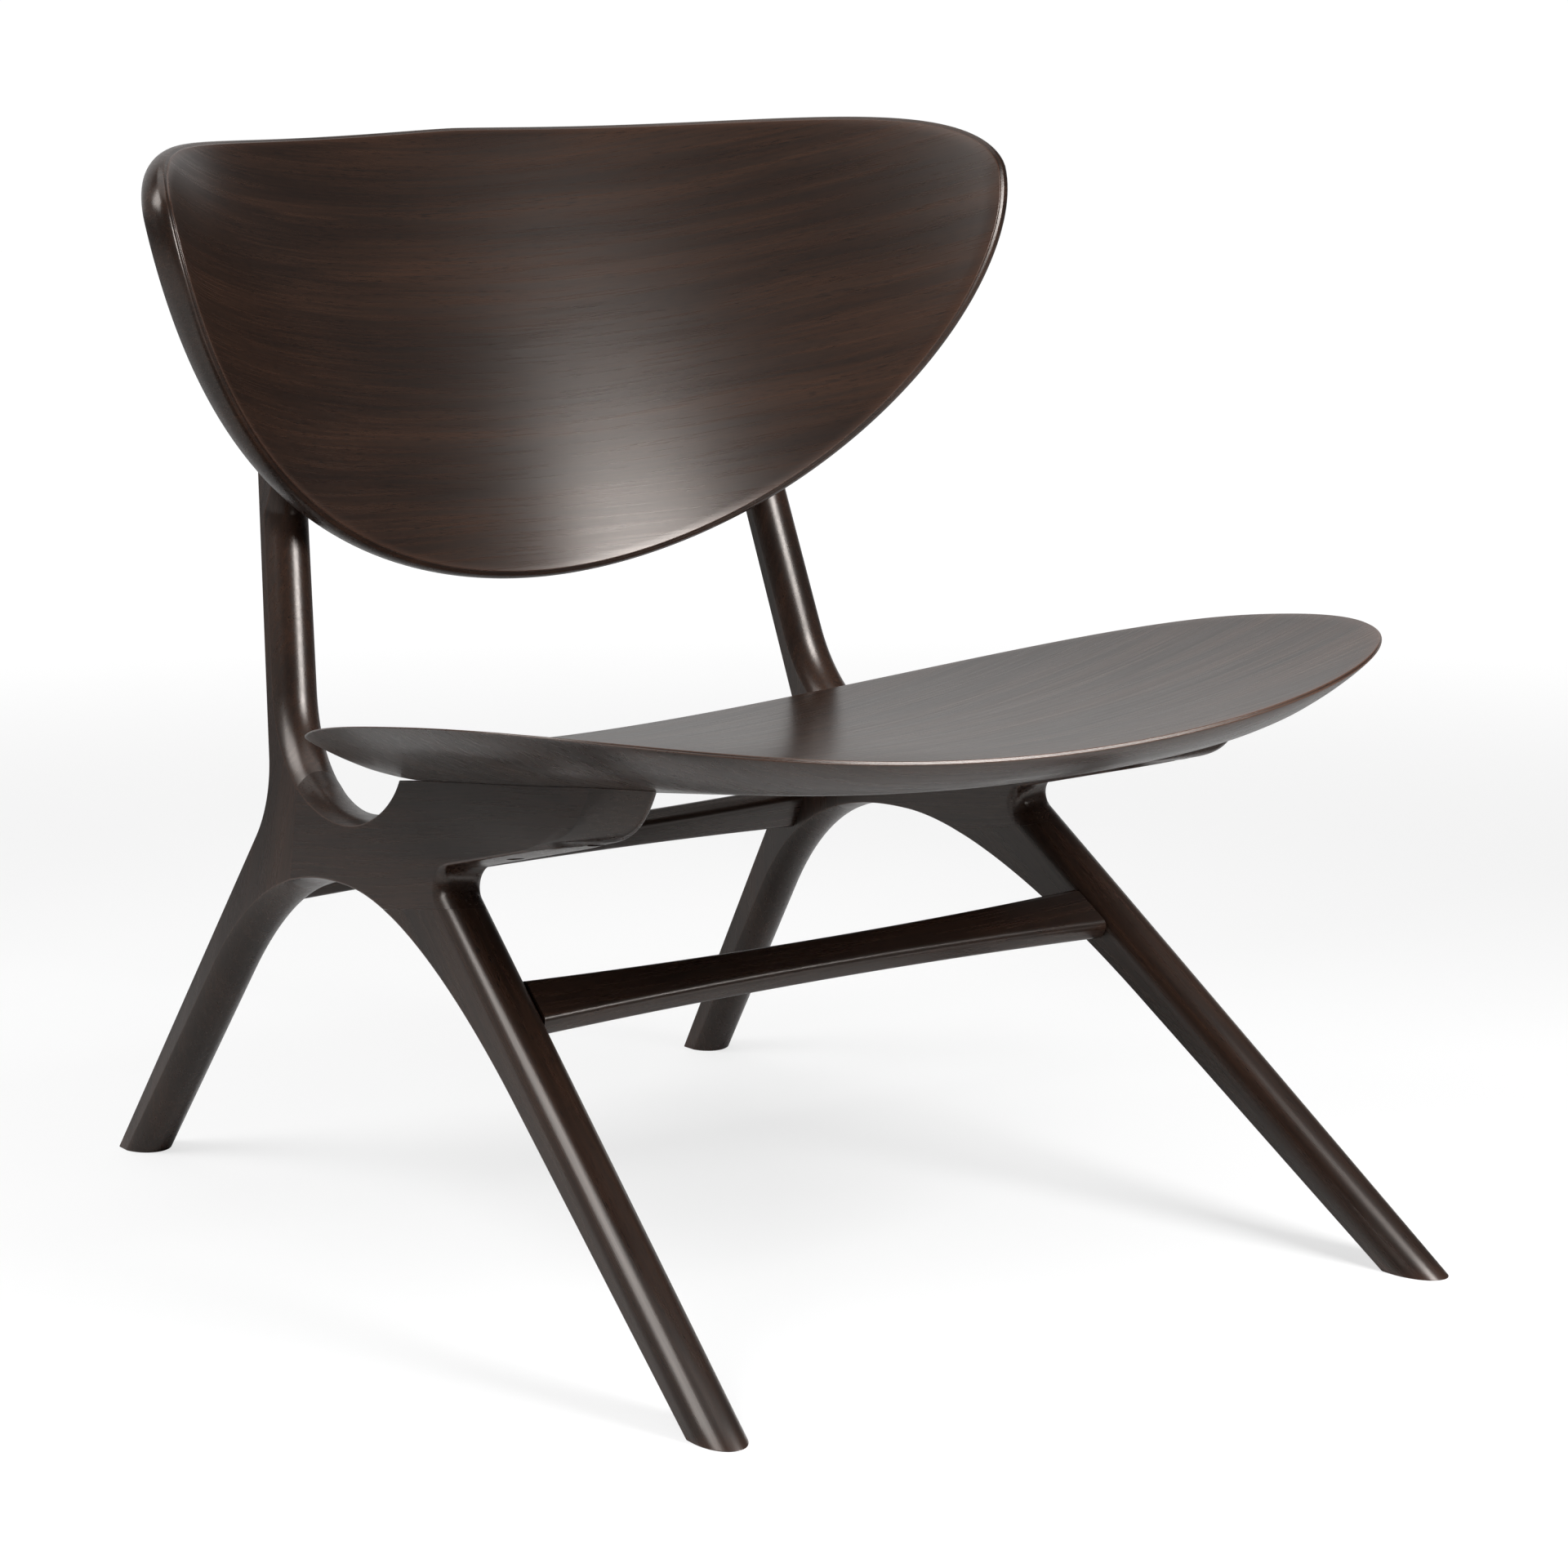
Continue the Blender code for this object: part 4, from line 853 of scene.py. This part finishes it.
def bar_section(width, thick, corner, centre, line):
    """Rounded rectangle in the depth and height plane, its long side along 'line'."""
    mid = 0.25 * math.pi + 0.5 * math.pi * np.arange(4)[:, None]
    angle = mid + np.linspace(-0.25 * math.pi, 0.25 * math.pi, CORNER_POINTS)[None]
    long = np.sign(np.cos(mid)) * (0.5 * width - corner) + corner * np.cos(angle)
    tall = np.sign(np.sin(mid)) * (0.5 * thick - corner) + corner * np.sin(angle)
    line = np.asarray(line)
    over = np.array((-line[1], line[0]))
    return centre + long.reshape(-1, 1) * line + tall.reshape(-1, 1) * over


def bar_ring(section, share, extra):
    """A section moved sideways to a share of its distance to the inner face of the frame."""
    y, z = section.T
    face = STANCE + (HALF + GAP + OUTWARD[1] * y + OUTWARD[2] * z) / OUTWARD[0]
    return np.stack([share * (face + extra), y, z], 1) + SLIDE


def bar_place(seat, low, high):
    """Middle of a bar's end and the direction of its leg's edge, in depth and height."""
    centre = (on_frame("right", seat[0], seat[1], -HALF) - SLIDE)[1:]
    line = unit((on_frame("right", *high) - on_frame("right", *low))[1:])
    return centre, line


def bar(name, centre, line, end_width, mid_width):
    """Tenon, waisted bar, tenon; the width is mid + (end - mid) share^2."""
    tenon = bar_section(TENON_WIDTH, TENON_THICK, TENON_CORNER, centre, line)
    rings = [bar_ring(tenon, -1.0, TENON_LENGTH), bar_ring(tenon, -1.0, 0.0)]
    for share in np.linspace(-1.0, 1.0, BAR_SECTIONS):
        width = mid_width + (end_width - mid_width) * share**2
        section = bar_section(width, BAR_THICK, BAR_CORNER, centre, line)
        rings.append(bar_ring(section, share, 0.0))
    rings += [bar_ring(tenon, 1.0, 0.0), bar_ring(tenon, 1.0, TENON_LENGTH)]
    return skin(name, rings)


def mortise(side, centre, line):
    """The hole for a tenon, wider all round by the gap."""
    wide = bar_section(TENON_WIDTH + 2.0 * GAP, TENON_THICK + 2.0 * GAP, TENON_CORNER + GAP,
                       centre, line)
    sign = SIDES[side]
    rings = [bar_ring(wide, sign, -MORTISE_OPEN), bar_ring(wide, sign, TENON_LENGTH + GAP)]
    return skin("mortise", rings)


stretcher_at = bar_place((-0.1041, 0.2003), sole_back, leg_low)
cross_rail_at = bar_place((0.2185, 0.2254), rear_toe, rear_high)
print("stretcher at", stretcher_at[0].round(4), "cross rail at", cross_rail_at[0].round(4))

# %% [markdown]
# ## Making the ten wooden pieces
# Each board has its own run of grain: across the chair in the seat, the back and the bars, along
# each plank in the frames. The finish reads it from an attribute named grain, in metres: along
# the fibre, across it, and into the board. It is worked out from the finished points, so it also
# holds on the walls of the holes, and each piece gets its own offset as if from its own board.

# %% Finish a piece
WOOD = bpy.data.materials.new("stained_mahogany")
BOARD_STEP = np.array((1.37, 0.83, 0.59))  # from one piece's board to the next one's
BEND_START = 150.0  # bends in 1 / m
BEND_RANGE = 600.0
CRISP = math.radians(32.0)
made = []


def plank_grain(side, low, high):
    """A function from points to grain: distances along the line low to high, across it, and out."""
    line = unit(np.array(high) - low)

    def grain(place):
        base = (place - SLIDE) * (-SIDES[side], 1.0, 1.0) - np.array((-STANCE, 0.0, 0.0))
        a, b, n = base @ ALONG, base @ UPWARD, base @ OUTWARD
        return np.stack([a * line[0] + b * line[1], b * line[0] - a * line[1], n], 1)

    return grain


def bar_grain(place):
    """A bar lies across the chair, so its grain is its place."""
    return place.copy()


def edge_bend_share(mesh, place):
    """Share at each point from 0 to 1, from the sharpest outward bend of its edges: -2 step.normal
    / step^2.
    """
    count = len(mesh.vertices)
    normal = np.empty(3 * count, np.float32)
    mesh.vertices.foreach_get("normal", normal)
    ends = np.empty(2 * len(mesh.edges), np.int32)
    mesh.edges.foreach_get("vertices", ends)
    p, n = place.reshape(-1, 3), normal.reshape(-1, 3)
    pairs = ends.reshape(-1, 2)
    i, j = np.concatenate([pairs, pairs[:, ::-1]]).T
    step = p[j] - p[i]
    bends = -2.0 * np.sum(step * n[i], 1) / np.maximum(np.sum(step * step, 1), 1e-9)
    sharpest = np.full(count, 0.0, np.float32)
    np.maximum.at(sharpest, i, bends)
    return np.clip((sharpest - BEND_START) / BEND_RANGE, 0.0, 1.0).astype(np.float32)


def settle(body, node, grain):
    """Smooth a piece with crisp corners, write its grain, give it the wood, put it under the root
    body and hide its solid.
    """
    mesh = body.data
    place = np.empty(3 * len(mesh.vertices), np.float32)
    mesh.vertices.foreach_get("co", place)
    fibre = grain(place.reshape(-1, 3).astype(float)) + len(made) * BOARD_STEP
    along_fibre = mesh.attributes.new("grain", "FLOAT_VECTOR", "POINT")
    along_fibre.data.foreach_set("vector", fibre.astype(np.float32).ravel())
    # share from 0 to 1 of how sharply the edges at each point bend
    edge_bend = mesh.attributes.new("edge_bend", "FLOAT", "POINT")
    edge_bend.data.foreach_set("value", edge_bend_share(mesh, place))
    mesh.polygons.foreach_set("use_smooth", np.ones(len(mesh.polygons), bool))
    mesh.set_sharp_from_angle(angle=CRISP)
    mesh.materials.clear()
    mesh.materials.append(WOOD)
    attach(body, "root")
    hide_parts(node)
    made.append(body)
    mesh.calc_loop_triangles()
    print(body.name, "triangles:", len(mesh.loop_triangles))
    return body


# %% Seat and back
seat_holes = [insert_hole(f"seat_insert_{spot}_{side}", f"seat_bolt_{spot}_{side}")
              for side in SIDES for spot in ("front", "rear")]
back_holes = [insert_hole(f"back_insert_{spot}_{side}", f"back_bolt_{spot}_{side}")
              for side in SIDES for spot in ("upper", "lower")]
seat_mesh = shell("seat_board", *SEAT_FORM)
back_mesh = shell("back_board", *BACK_FORM)
settle(carve("seat_board", seat_mesh, seat_holes), "seat_shell", seat_grain)
settle(carve("back_board", back_mesh, back_holes), "backrest_shell", back_grain)

# %% Cross members
stretcher = bar("stretcher_bar", *stretcher_at, end_width=0.038, mid_width=0.0275)
cross_rail = bar("cross_rail_bar", *cross_rail_at, end_width=0.034, mid_width=0.023)
settle(carve("stretcher_bar", stretcher, []), "front_stretcher", bar_grain)
settle(carve("cross_rail_bar", cross_rail, []), "rear_cross_rail", bar_grain)

# %% Side frames
SEAT_ROOM = 0.03  # how far the beds reach in front of the boards that lie in them
BACK_ROOM = 0.04

for side in SIDES:
    seat_bed = shell("seat_bed", *SEAT_FORM, GAP, SEAT_ROOM)
    back_bed = shell("back_bed", *BACK_FORM, GAP, BACK_ROOM)
    rail_dowels = [f"rail_dowel_{spot}_{side}" for spot in ("upper", "lower")]
    leg_dowels = [f"leg_dowel_{spot}_{side}" for spot in ("front", "rear")]

    rear_cuts = [mortise(side, *cross_rail_at), back_bed]
    rear_cuts += [dowel_hole(node, RAIL_DOWEL) for node in rail_dowels]
    rear_cuts += [bolt_hole(f"back_bolt_{spot}_{side}") for spot in ("upper", "lower")]
    rear = cut_sole(plank("rear_leg", side, rear_leg_runs()))
    settle(carve(f"rear_leg_and_post_{side}", rear, rear_cuts), f"rear_leg_post_{side}",
           plank_grain(side, heel, post_top))

    rail_cuts = [seat_bed, rail_bow(side, 1.0), rail_bow(side, -1.0)]
    rail_cuts += [dowel_hole(node, RAIL_DOWEL) for node in rail_dowels]
    rail_cuts += [dowel_hole(node, LEG_DOWEL) for node in leg_dowels]
    rail_cuts += [bolt_hole(f"seat_bolt_{spot}_{side}") for spot in ("front", "rear")]
    rail = plank("hub_and_rail", side, seat_rail_runs())
    settle(carve(f"hub_and_rail_{side}", rail, rail_cuts), f"seat_rail_{side}",
           plank_grain(side, rail_back, rail_tip))

    leg_cuts = [mortise(side, *stretcher_at)]
    leg_cuts += [dowel_hole(node, LEG_DOWEL) for node in leg_dowels]
    leg = cut_sole(plank("raked_leg", side, front_leg_runs()))
    settle(carve(f"raked_leg_{side}", leg, leg_cuts), f"front_leg_{side}",
           plank_grain(side, sole_tip, notch))

# %% [markdown]
# ## The wood
# The chair is mahogany under a dark brown stain and a satin lacquer. Up close three things show
# through the stain: broad bands that run from near black to a warm red brown, fine fibre lines,
# and short dark pores. All three are noise stretched along the grain by different amounts, so one
# node group makes them from the grain attribute. Along sharply bent edges the colour is drawn
# toward a lighter, redder wood, by an attribute made with the pieces from how sharply they bend.

# %% Node helpers and the grain group
def add(tree, kind, sets=None, **props):
    """A node of that kind with its properties and input values set."""
    node = tree.nodes.new(kind)
    for key, value in props.items():
        setattr(node, key, value)
    for key, value in (sets or {}).items():
        node.inputs[key].default_value = value
    return node


def join(tree, *pairs):
    """Links given as (node, output, node, input)."""
    for a, out, b, into in pairs:
        tree.links.new(a.outputs[out], b.inputs[into])


def stretched_noise(tree, source, stretch, detail, rough=0.55):
    """Noise read at a place times a stretch in each of its three directions."""
    scale = add(tree, "ShaderNodeVectorMath", {1: stretch}, operation="MULTIPLY")
    noise = add(tree, "ShaderNodeTexNoise", {"Scale": 1.0, "Detail": detail, "Roughness": rough})
    join(tree, (*source, scale, 0), (scale, 0, noise, "Vector"))
    return noise


def between(tree, node, out, low, high, to_low=0.0, to_high=1.0):
    """A value taken smoothly from one range to another."""
    remap = add(tree, "ShaderNodeMapRange", {1: low, 2: high, 3: to_low, 4: to_high},
                interpolation_type="SMOOTHSTEP")
    join(tree, (node, out, remap, 0))
    return remap


grain = bpy.data.node_groups.new("mahogany_grain", "ShaderNodeTree")
grain.interface.new_socket("Fibre", in_out="INPUT", socket_type="NodeSocketVector")
for socket in ("Bands", "Lines", "Pores"):
    grain.interface.new_socket(socket, in_out="OUTPUT", socket_type="NodeSocketFloat")
place_in = add(grain, "NodeGroupInput")
masks_out = add(grain, "NodeGroupOutput")
drift = stretched_noise(grain, (place_in, 0), (2.0, 5.0, 5.0), 2.0)
lean = add(grain, "ShaderNodeVectorMath", {1: (0.0, 0.030, 0.018)}, operation="MULTIPLY")
wavy = add(grain, "ShaderNodeVectorMath", operation="ADD")
join(grain, (drift, "Color", lean, 0), (lean, 0, wavy, 0), (place_in, 0, wavy, 1))
bands = stretched_noise(grain, (wavy, 0), (2.6, 34.0, 20.0), 4.0, 0.6)
lines = stretched_noise(grain, (wavy, 0), (9.0, 520.0, 300.0), 3.0)
pores = stretched_noise(grain, (wavy, 0), (95.0, 2300.0, 1500.0), 1.0)
rows = stretched_noise(grain, (wavy, 0), (5.0, 90.0, 60.0), 2.0)
pore_rows = add(grain, "ShaderNodeMath", {1: 0.22}, operation="MULTIPLY_ADD")
join(grain, (rows, 0, pore_rows, 0), (pores, 0, pore_rows, 2))
join(grain, (between(grain, bands, 0, 0.34, 0.70), 0, masks_out, "Bands"),
     (between(grain, lines, 0, 0.30, 0.70), 0, masks_out, "Lines"),
     (between(grain, pore_rows, 0, 0.72, 0.82), 0, masks_out, "Pores"))
print("grain group nodes:", len(grain.nodes))

# %% Stained mahogany
DARK_STAIN = (0.0120, 0.0066, 0.0048, 1.0)
WARM_STAIN = (0.0250, 0.0126, 0.0080, 1.0)
DARK_LINE = (0.72, 0.72, 0.72, 1.0)
WARM_LINE = (1.30, 1.24, 1.20, 1.0)
DARK_PORE = (0.0045, 0.0030, 0.0026, 1.0)
# the lighter, redder wood mixed in along sharply bent edges
SHARP_EDGE_WOOD = (0.070, 0.034, 0.022, 1.0)
LACQUER_TINT = (1.0, 0.93, 0.88, 1.0)
LACQUER_IOR = 1.48


def mix_colour(tree, factor, first, second, kind="MIX"):
    """Blend of two colours; each is a colour or a (node, output) pair, and so is the factor."""
    blend = add(tree, "ShaderNodeMix", data_type="RGBA", blend_type=kind)
    for key, value in ((0, factor), (6, first), (7, second)):
        if isinstance(value, tuple) and hasattr(value[0], "outputs"):
            join(tree, (*value, blend, key))
        else:
            blend.inputs[key].default_value = value
    return blend


WOOD.use_nodes = True
tree = WOOD.node_tree
lacquer = tree.nodes["Principled BSDF"]
fibre_at = add(tree, "ShaderNodeAttribute", attribute_name="grain")
edge_bend_at = add(tree, "ShaderNodeAttribute", attribute_name="edge_bend")
figure = add(tree, "ShaderNodeGroup", node_tree=grain)
join(tree, (fibre_at, "Vector", figure, "Fibre"))
stain = mix_colour(tree, (figure, "Bands"), DARK_STAIN, WARM_STAIN)
lined = mix_colour(tree, (figure, "Lines"), DARK_LINE, WARM_LINE)
stained = mix_colour(tree, 1.0, (stain, 2), (lined, 2), "MULTIPLY")
pored = mix_colour(tree, (figure, "Pores"), (stained, 2), DARK_PORE)
# along sharply bent edges the colour goes up to 0.45 of the way to a lighter, redder wood
edge_share = between(tree, edge_bend_at, "Fac", 0.1, 1.0, 0.0, 0.45)
edge_tinted = mix_colour(tree, (edge_share, 0), (pored, 2), SHARP_EDGE_WOOD)
sheen = between(tree, figure, "Lines", 0.0, 1.0, 0.31, 0.27)
soft_lines = between(tree, figure, "Lines", 0.0, 1.0, 0.0, 0.35)
relief = add(tree, "ShaderNodeMath", {1: -0.6}, operation="MULTIPLY_ADD")
bump = add(tree, "ShaderNodeBump", {"Strength": 0.028, "Distance": 0.0004})
join(tree, (edge_tinted, 2, lacquer, "Base Color"), (sheen, 0, lacquer, "Roughness"),
     (figure, "Pores", relief, 0), (soft_lines, 0, relief, 2), (relief, 0, bump, "Height"),
     (bump, 0, lacquer, "Normal"))
lacquer.inputs["IOR"].default_value = LACQUER_IOR
lacquer.inputs["Specular Tint"].default_value = LACQUER_TINT
print("wood finish nodes:", len(tree.nodes))

# %% [markdown]
# ## The fixings
# The dowels are turned beech, the bolts are steel blackened in oil, and the inserts they screw
# into are brass. Beech has short flecks, oil black is uneven in its shine, and brass from a lathe
# is a little cloudy, so each metal or wood gets its own noise in its colour and its roughness.

# %% Beech, blackened steel and brass
def fixing_material(name, dark, light, metal, stretch, smooth, dull):
    """Stretched noise blends two colours and runs the roughness from one value to another."""
    material = bpy.data.materials.new(name)
    material.use_nodes = True
    tree = material.node_tree
    shader = tree.nodes["Principled BSDF"]
    shader.inputs["Metallic"].default_value = metal
    where = add(tree, "ShaderNodeTexCoord")
    cloud = stretched_noise(tree, (where, "Object"), stretch, 3.0)
    share = between(tree, cloud, 0, 0.30, 0.70)
    tint = mix_colour(tree, (share, 0), (*dark, 1.0), (*light, 1.0))
    shine = between(tree, cloud, 0, 0.30, 0.70, smooth, dull)
    join(tree, (tint, 2, shader, "Base Color"), (shine, 0, shader, "Roughness"))
    return material


FIXINGS = {
    "dowel": fixing_material("beech_dowel", (0.42, 0.25, 0.13), (0.60, 0.40, 0.23),
                             metal=0.0, stretch=(900.0, 260.0, 900.0), smooth=0.55, dull=0.70),
    "bolt": fixing_material("blackened_steel", (0.016, 0.016, 0.017), (0.050, 0.048, 0.046),
                            metal=0.85, stretch=(420.0, 420.0, 420.0), smooth=0.34, dull=0.52),
    "insert": fixing_material("turned_brass", (0.46, 0.30, 0.10), (0.62, 0.43, 0.16),
                              metal=1.0, stretch=(500.0, 500.0, 500.0), smooth=0.24, dull=0.40),
}
for node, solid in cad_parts.items():
    kinds = [kind for kind in FIXINGS if kind in node]
    if kinds:
        solid.data.materials.clear()
        solid.data.materials.append(FIXINGS[kinds[0]])
print("fixings finished:", sum(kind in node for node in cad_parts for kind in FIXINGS))

# %% [markdown]
# ## Floor, backdrop and light
# The chair stands on a pale floor in front of a pale wall. To the camera both are white, which
# comes from a light of their own that only the camera sees, so the floor still keeps the soft
# shadow of the legs. The wood is dark and its look is mostly reflection. The wall has a second
# light that only reflections see, weaker on the left, and it gives the grey sheen on the seat. A
# soft box in front on the right gives the tall highlight on the back, one at the upper left draws
# a line of light down the posts and legs, and a large one overhead fills in.

# %% Floor and backdrop
CAMERA_TURN = 36.12  # degrees from straight in front
FLOOR_HALF = 9.0
WALL_RADIUS = 8.0
WALL_HEIGHT = 7.0
WALL_FROM, WALL_TO, WALL_POSTS = -125.0, 30.0, 40


def stage_piece(name, points, faces, material):
    """A plain mesh of the surroundings, kept apart from the chair."""
    mesh = bpy.data.meshes.new(name)
    mesh.from_pydata([tuple(p) for p in points], [], faces)
    mesh.materials.append(material)
    piece = bpy.data.objects.new(name, mesh)
    bpy.context.scene.collection.objects.link(piece)
    return piece


def pale_material(name, colour, seen_colour, near, far, left, right):
    """Matt, with its own light: near to far for the camera, left to right in reflections."""
    material = bpy.data.materials.new(name)
    material.use_nodes = True
    tree = material.node_tree
    matt = tree.nodes["Principled BSDF"]
    matt.inputs["Roughness"].default_value = 0.9
    matt.inputs["Specular IOR Level"].default_value = 0.0
    matt.inputs["Emission Color"].default_value = (1.0, 1.0, 1.0, 1.0)
    path = add(tree, "ShaderNodeLightPath")
    tint = mix_colour(tree, (path, "Is Camera Ray"), (colour,) * 3 + (1.0,),
                      (seen_colour,) * 3 + (1.0,))
    where = add(tree, "ShaderNodeTexCoord")
    reach = add(tree, "ShaderNodeVectorMath", operation="LENGTH")
    join(tree, (where, "Object", reach, 0))
    glow = between(tree, reach, "Value", 1.2, 3.2, near, far)
    aside = add(tree, "ShaderNodeSeparateXYZ")
    join(tree, (where, "Object", aside, 0))
    mirrored = between(tree, aside, "X", -5.0, 4.0, left, right)
    seen = add(tree, "ShaderNodeMath", operation="MULTIPLY")
    both = add(tree, "ShaderNodeMath", operation="MULTIPLY_ADD")
    join(tree, (path, "Is Camera Ray", seen, 0), (glow, 0, seen, 1),
         (path, "Is Glossy Ray", both, 0), (mirrored, 0, both, 1), (seen, 0, both, 2),
         (both, 0, matt, "Emission Strength"), (tint, 2, matt, "Base Color"))
    return material


pale_floor = pale_material("pale_floor", colour=0.70, seen_colour=0.25,
                           near=0.72, far=1.0, left=0.0, right=0.0)
pale_wall = pale_material("pale_wall", colour=0.80, seen_colour=0.10,
                          near=1.0, far=1.0, left=0.40, right=0.53)
floor_corners = [(x * FLOOR_HALF, y * FLOOR_HALF, 0.0)
                 for x, y in ((-1, -1), (1, -1), (1, 1), (-1, 1))]
stage_piece("floor", floor_corners, [(0, 1, 2, 3)], pale_floor)
sweep = np.radians(np.linspace(WALL_FROM, WALL_TO, WALL_POSTS) + CAMERA_TURN)
foot = np.stack([WALL_RADIUS * np.sin(sweep), WALL_RADIUS * np.cos(sweep), 0.0 * sweep], 1)
wall = np.concatenate([foot, foot + (0.0, 0.0, WALL_HEIGHT)])
k = np.arange(WALL_POSTS - 1)
panels = np.stack([k, k + WALL_POSTS, k + WALL_POSTS + 1, k + 1], 1)
stage_piece("backdrop", wall, panels.tolist(), pale_wall)
print("wall panels:", len(panels))

# %% Lights
def soft_box(name, place, target, width, height, power):
    """Rectangular lamp that faces a target."""
    lamp = bpy.data.lights.new(name, "AREA")
    lamp.shape = "RECTANGLE"
    lamp.size = width
    lamp.size_y = height
    lamp.energy = power
    holder = bpy.data.objects.new(name, lamp)
    aim = np.asarray(target, float) - np.asarray(place, float)
    holder.location = place
    holder.rotation_euler = (math.acos(-aim[2] / np.linalg.norm(aim)), 0.0,
                             math.atan2(aim[1], aim[0]) - 0.5 * math.pi)
    holder.visible_camera = False
    bpy.context.scene.collection.objects.link(holder)
    return holder


soft_box("front_right_box", (0.36, -0.87, 0.86), (0.06, 0.23, 0.45),
         width=0.46, height=0.42, power=18.0)
soft_box("overhead_box", (0.3, 0.3, 2.9), (0.0, 0.0, 0.3),
         width=2.6, height=2.6, power=32.0)
soft_box("upper_left_box", (-1.60, 0.12, 2.00), (-0.25, -0.15, 0.20),
         width=1.30, height=1.30, power=48.0)

scene = bpy.context.scene
scene.view_settings.view_transform = "Standard"
world = bpy.data.worlds.new("studio")
scene.world = world
world.use_nodes = True
room = world.node_tree.nodes["Background"]
room.inputs["Color"].default_value = (1.0, 1.0, 1.0, 1.0)
room.inputs["Strength"].default_value = 0.10
print("lamps:", [lamp.name for lamp in bpy.data.lights])

# %% [markdown]
# ## Camera
# The photograph was solved for its camera from the two side frames: it stands left of the front,
# a little above the back, and looks down by eleven degrees through a long lens.

# %% Camera
CAMERA_DOWN = 11.28
LENS, SENSOR = 107.48, 36.0

camera_data = bpy.data.cameras.new("camera")
camera_data.lens = LENS
camera_data.sensor_width = SENSOR
camera = bpy.data.objects.new("camera", camera_data)
camera.location = (-1.7978, -2.5277 + SLIDE[1], 0.9169)
camera.rotation_euler = (math.radians(90.0 - CAMERA_DOWN), 0.0, math.radians(-CAMERA_TURN))
scene.collection.objects.link(camera)
scene.camera = camera
print("camera at", [round(v, 3) for v in camera.location])
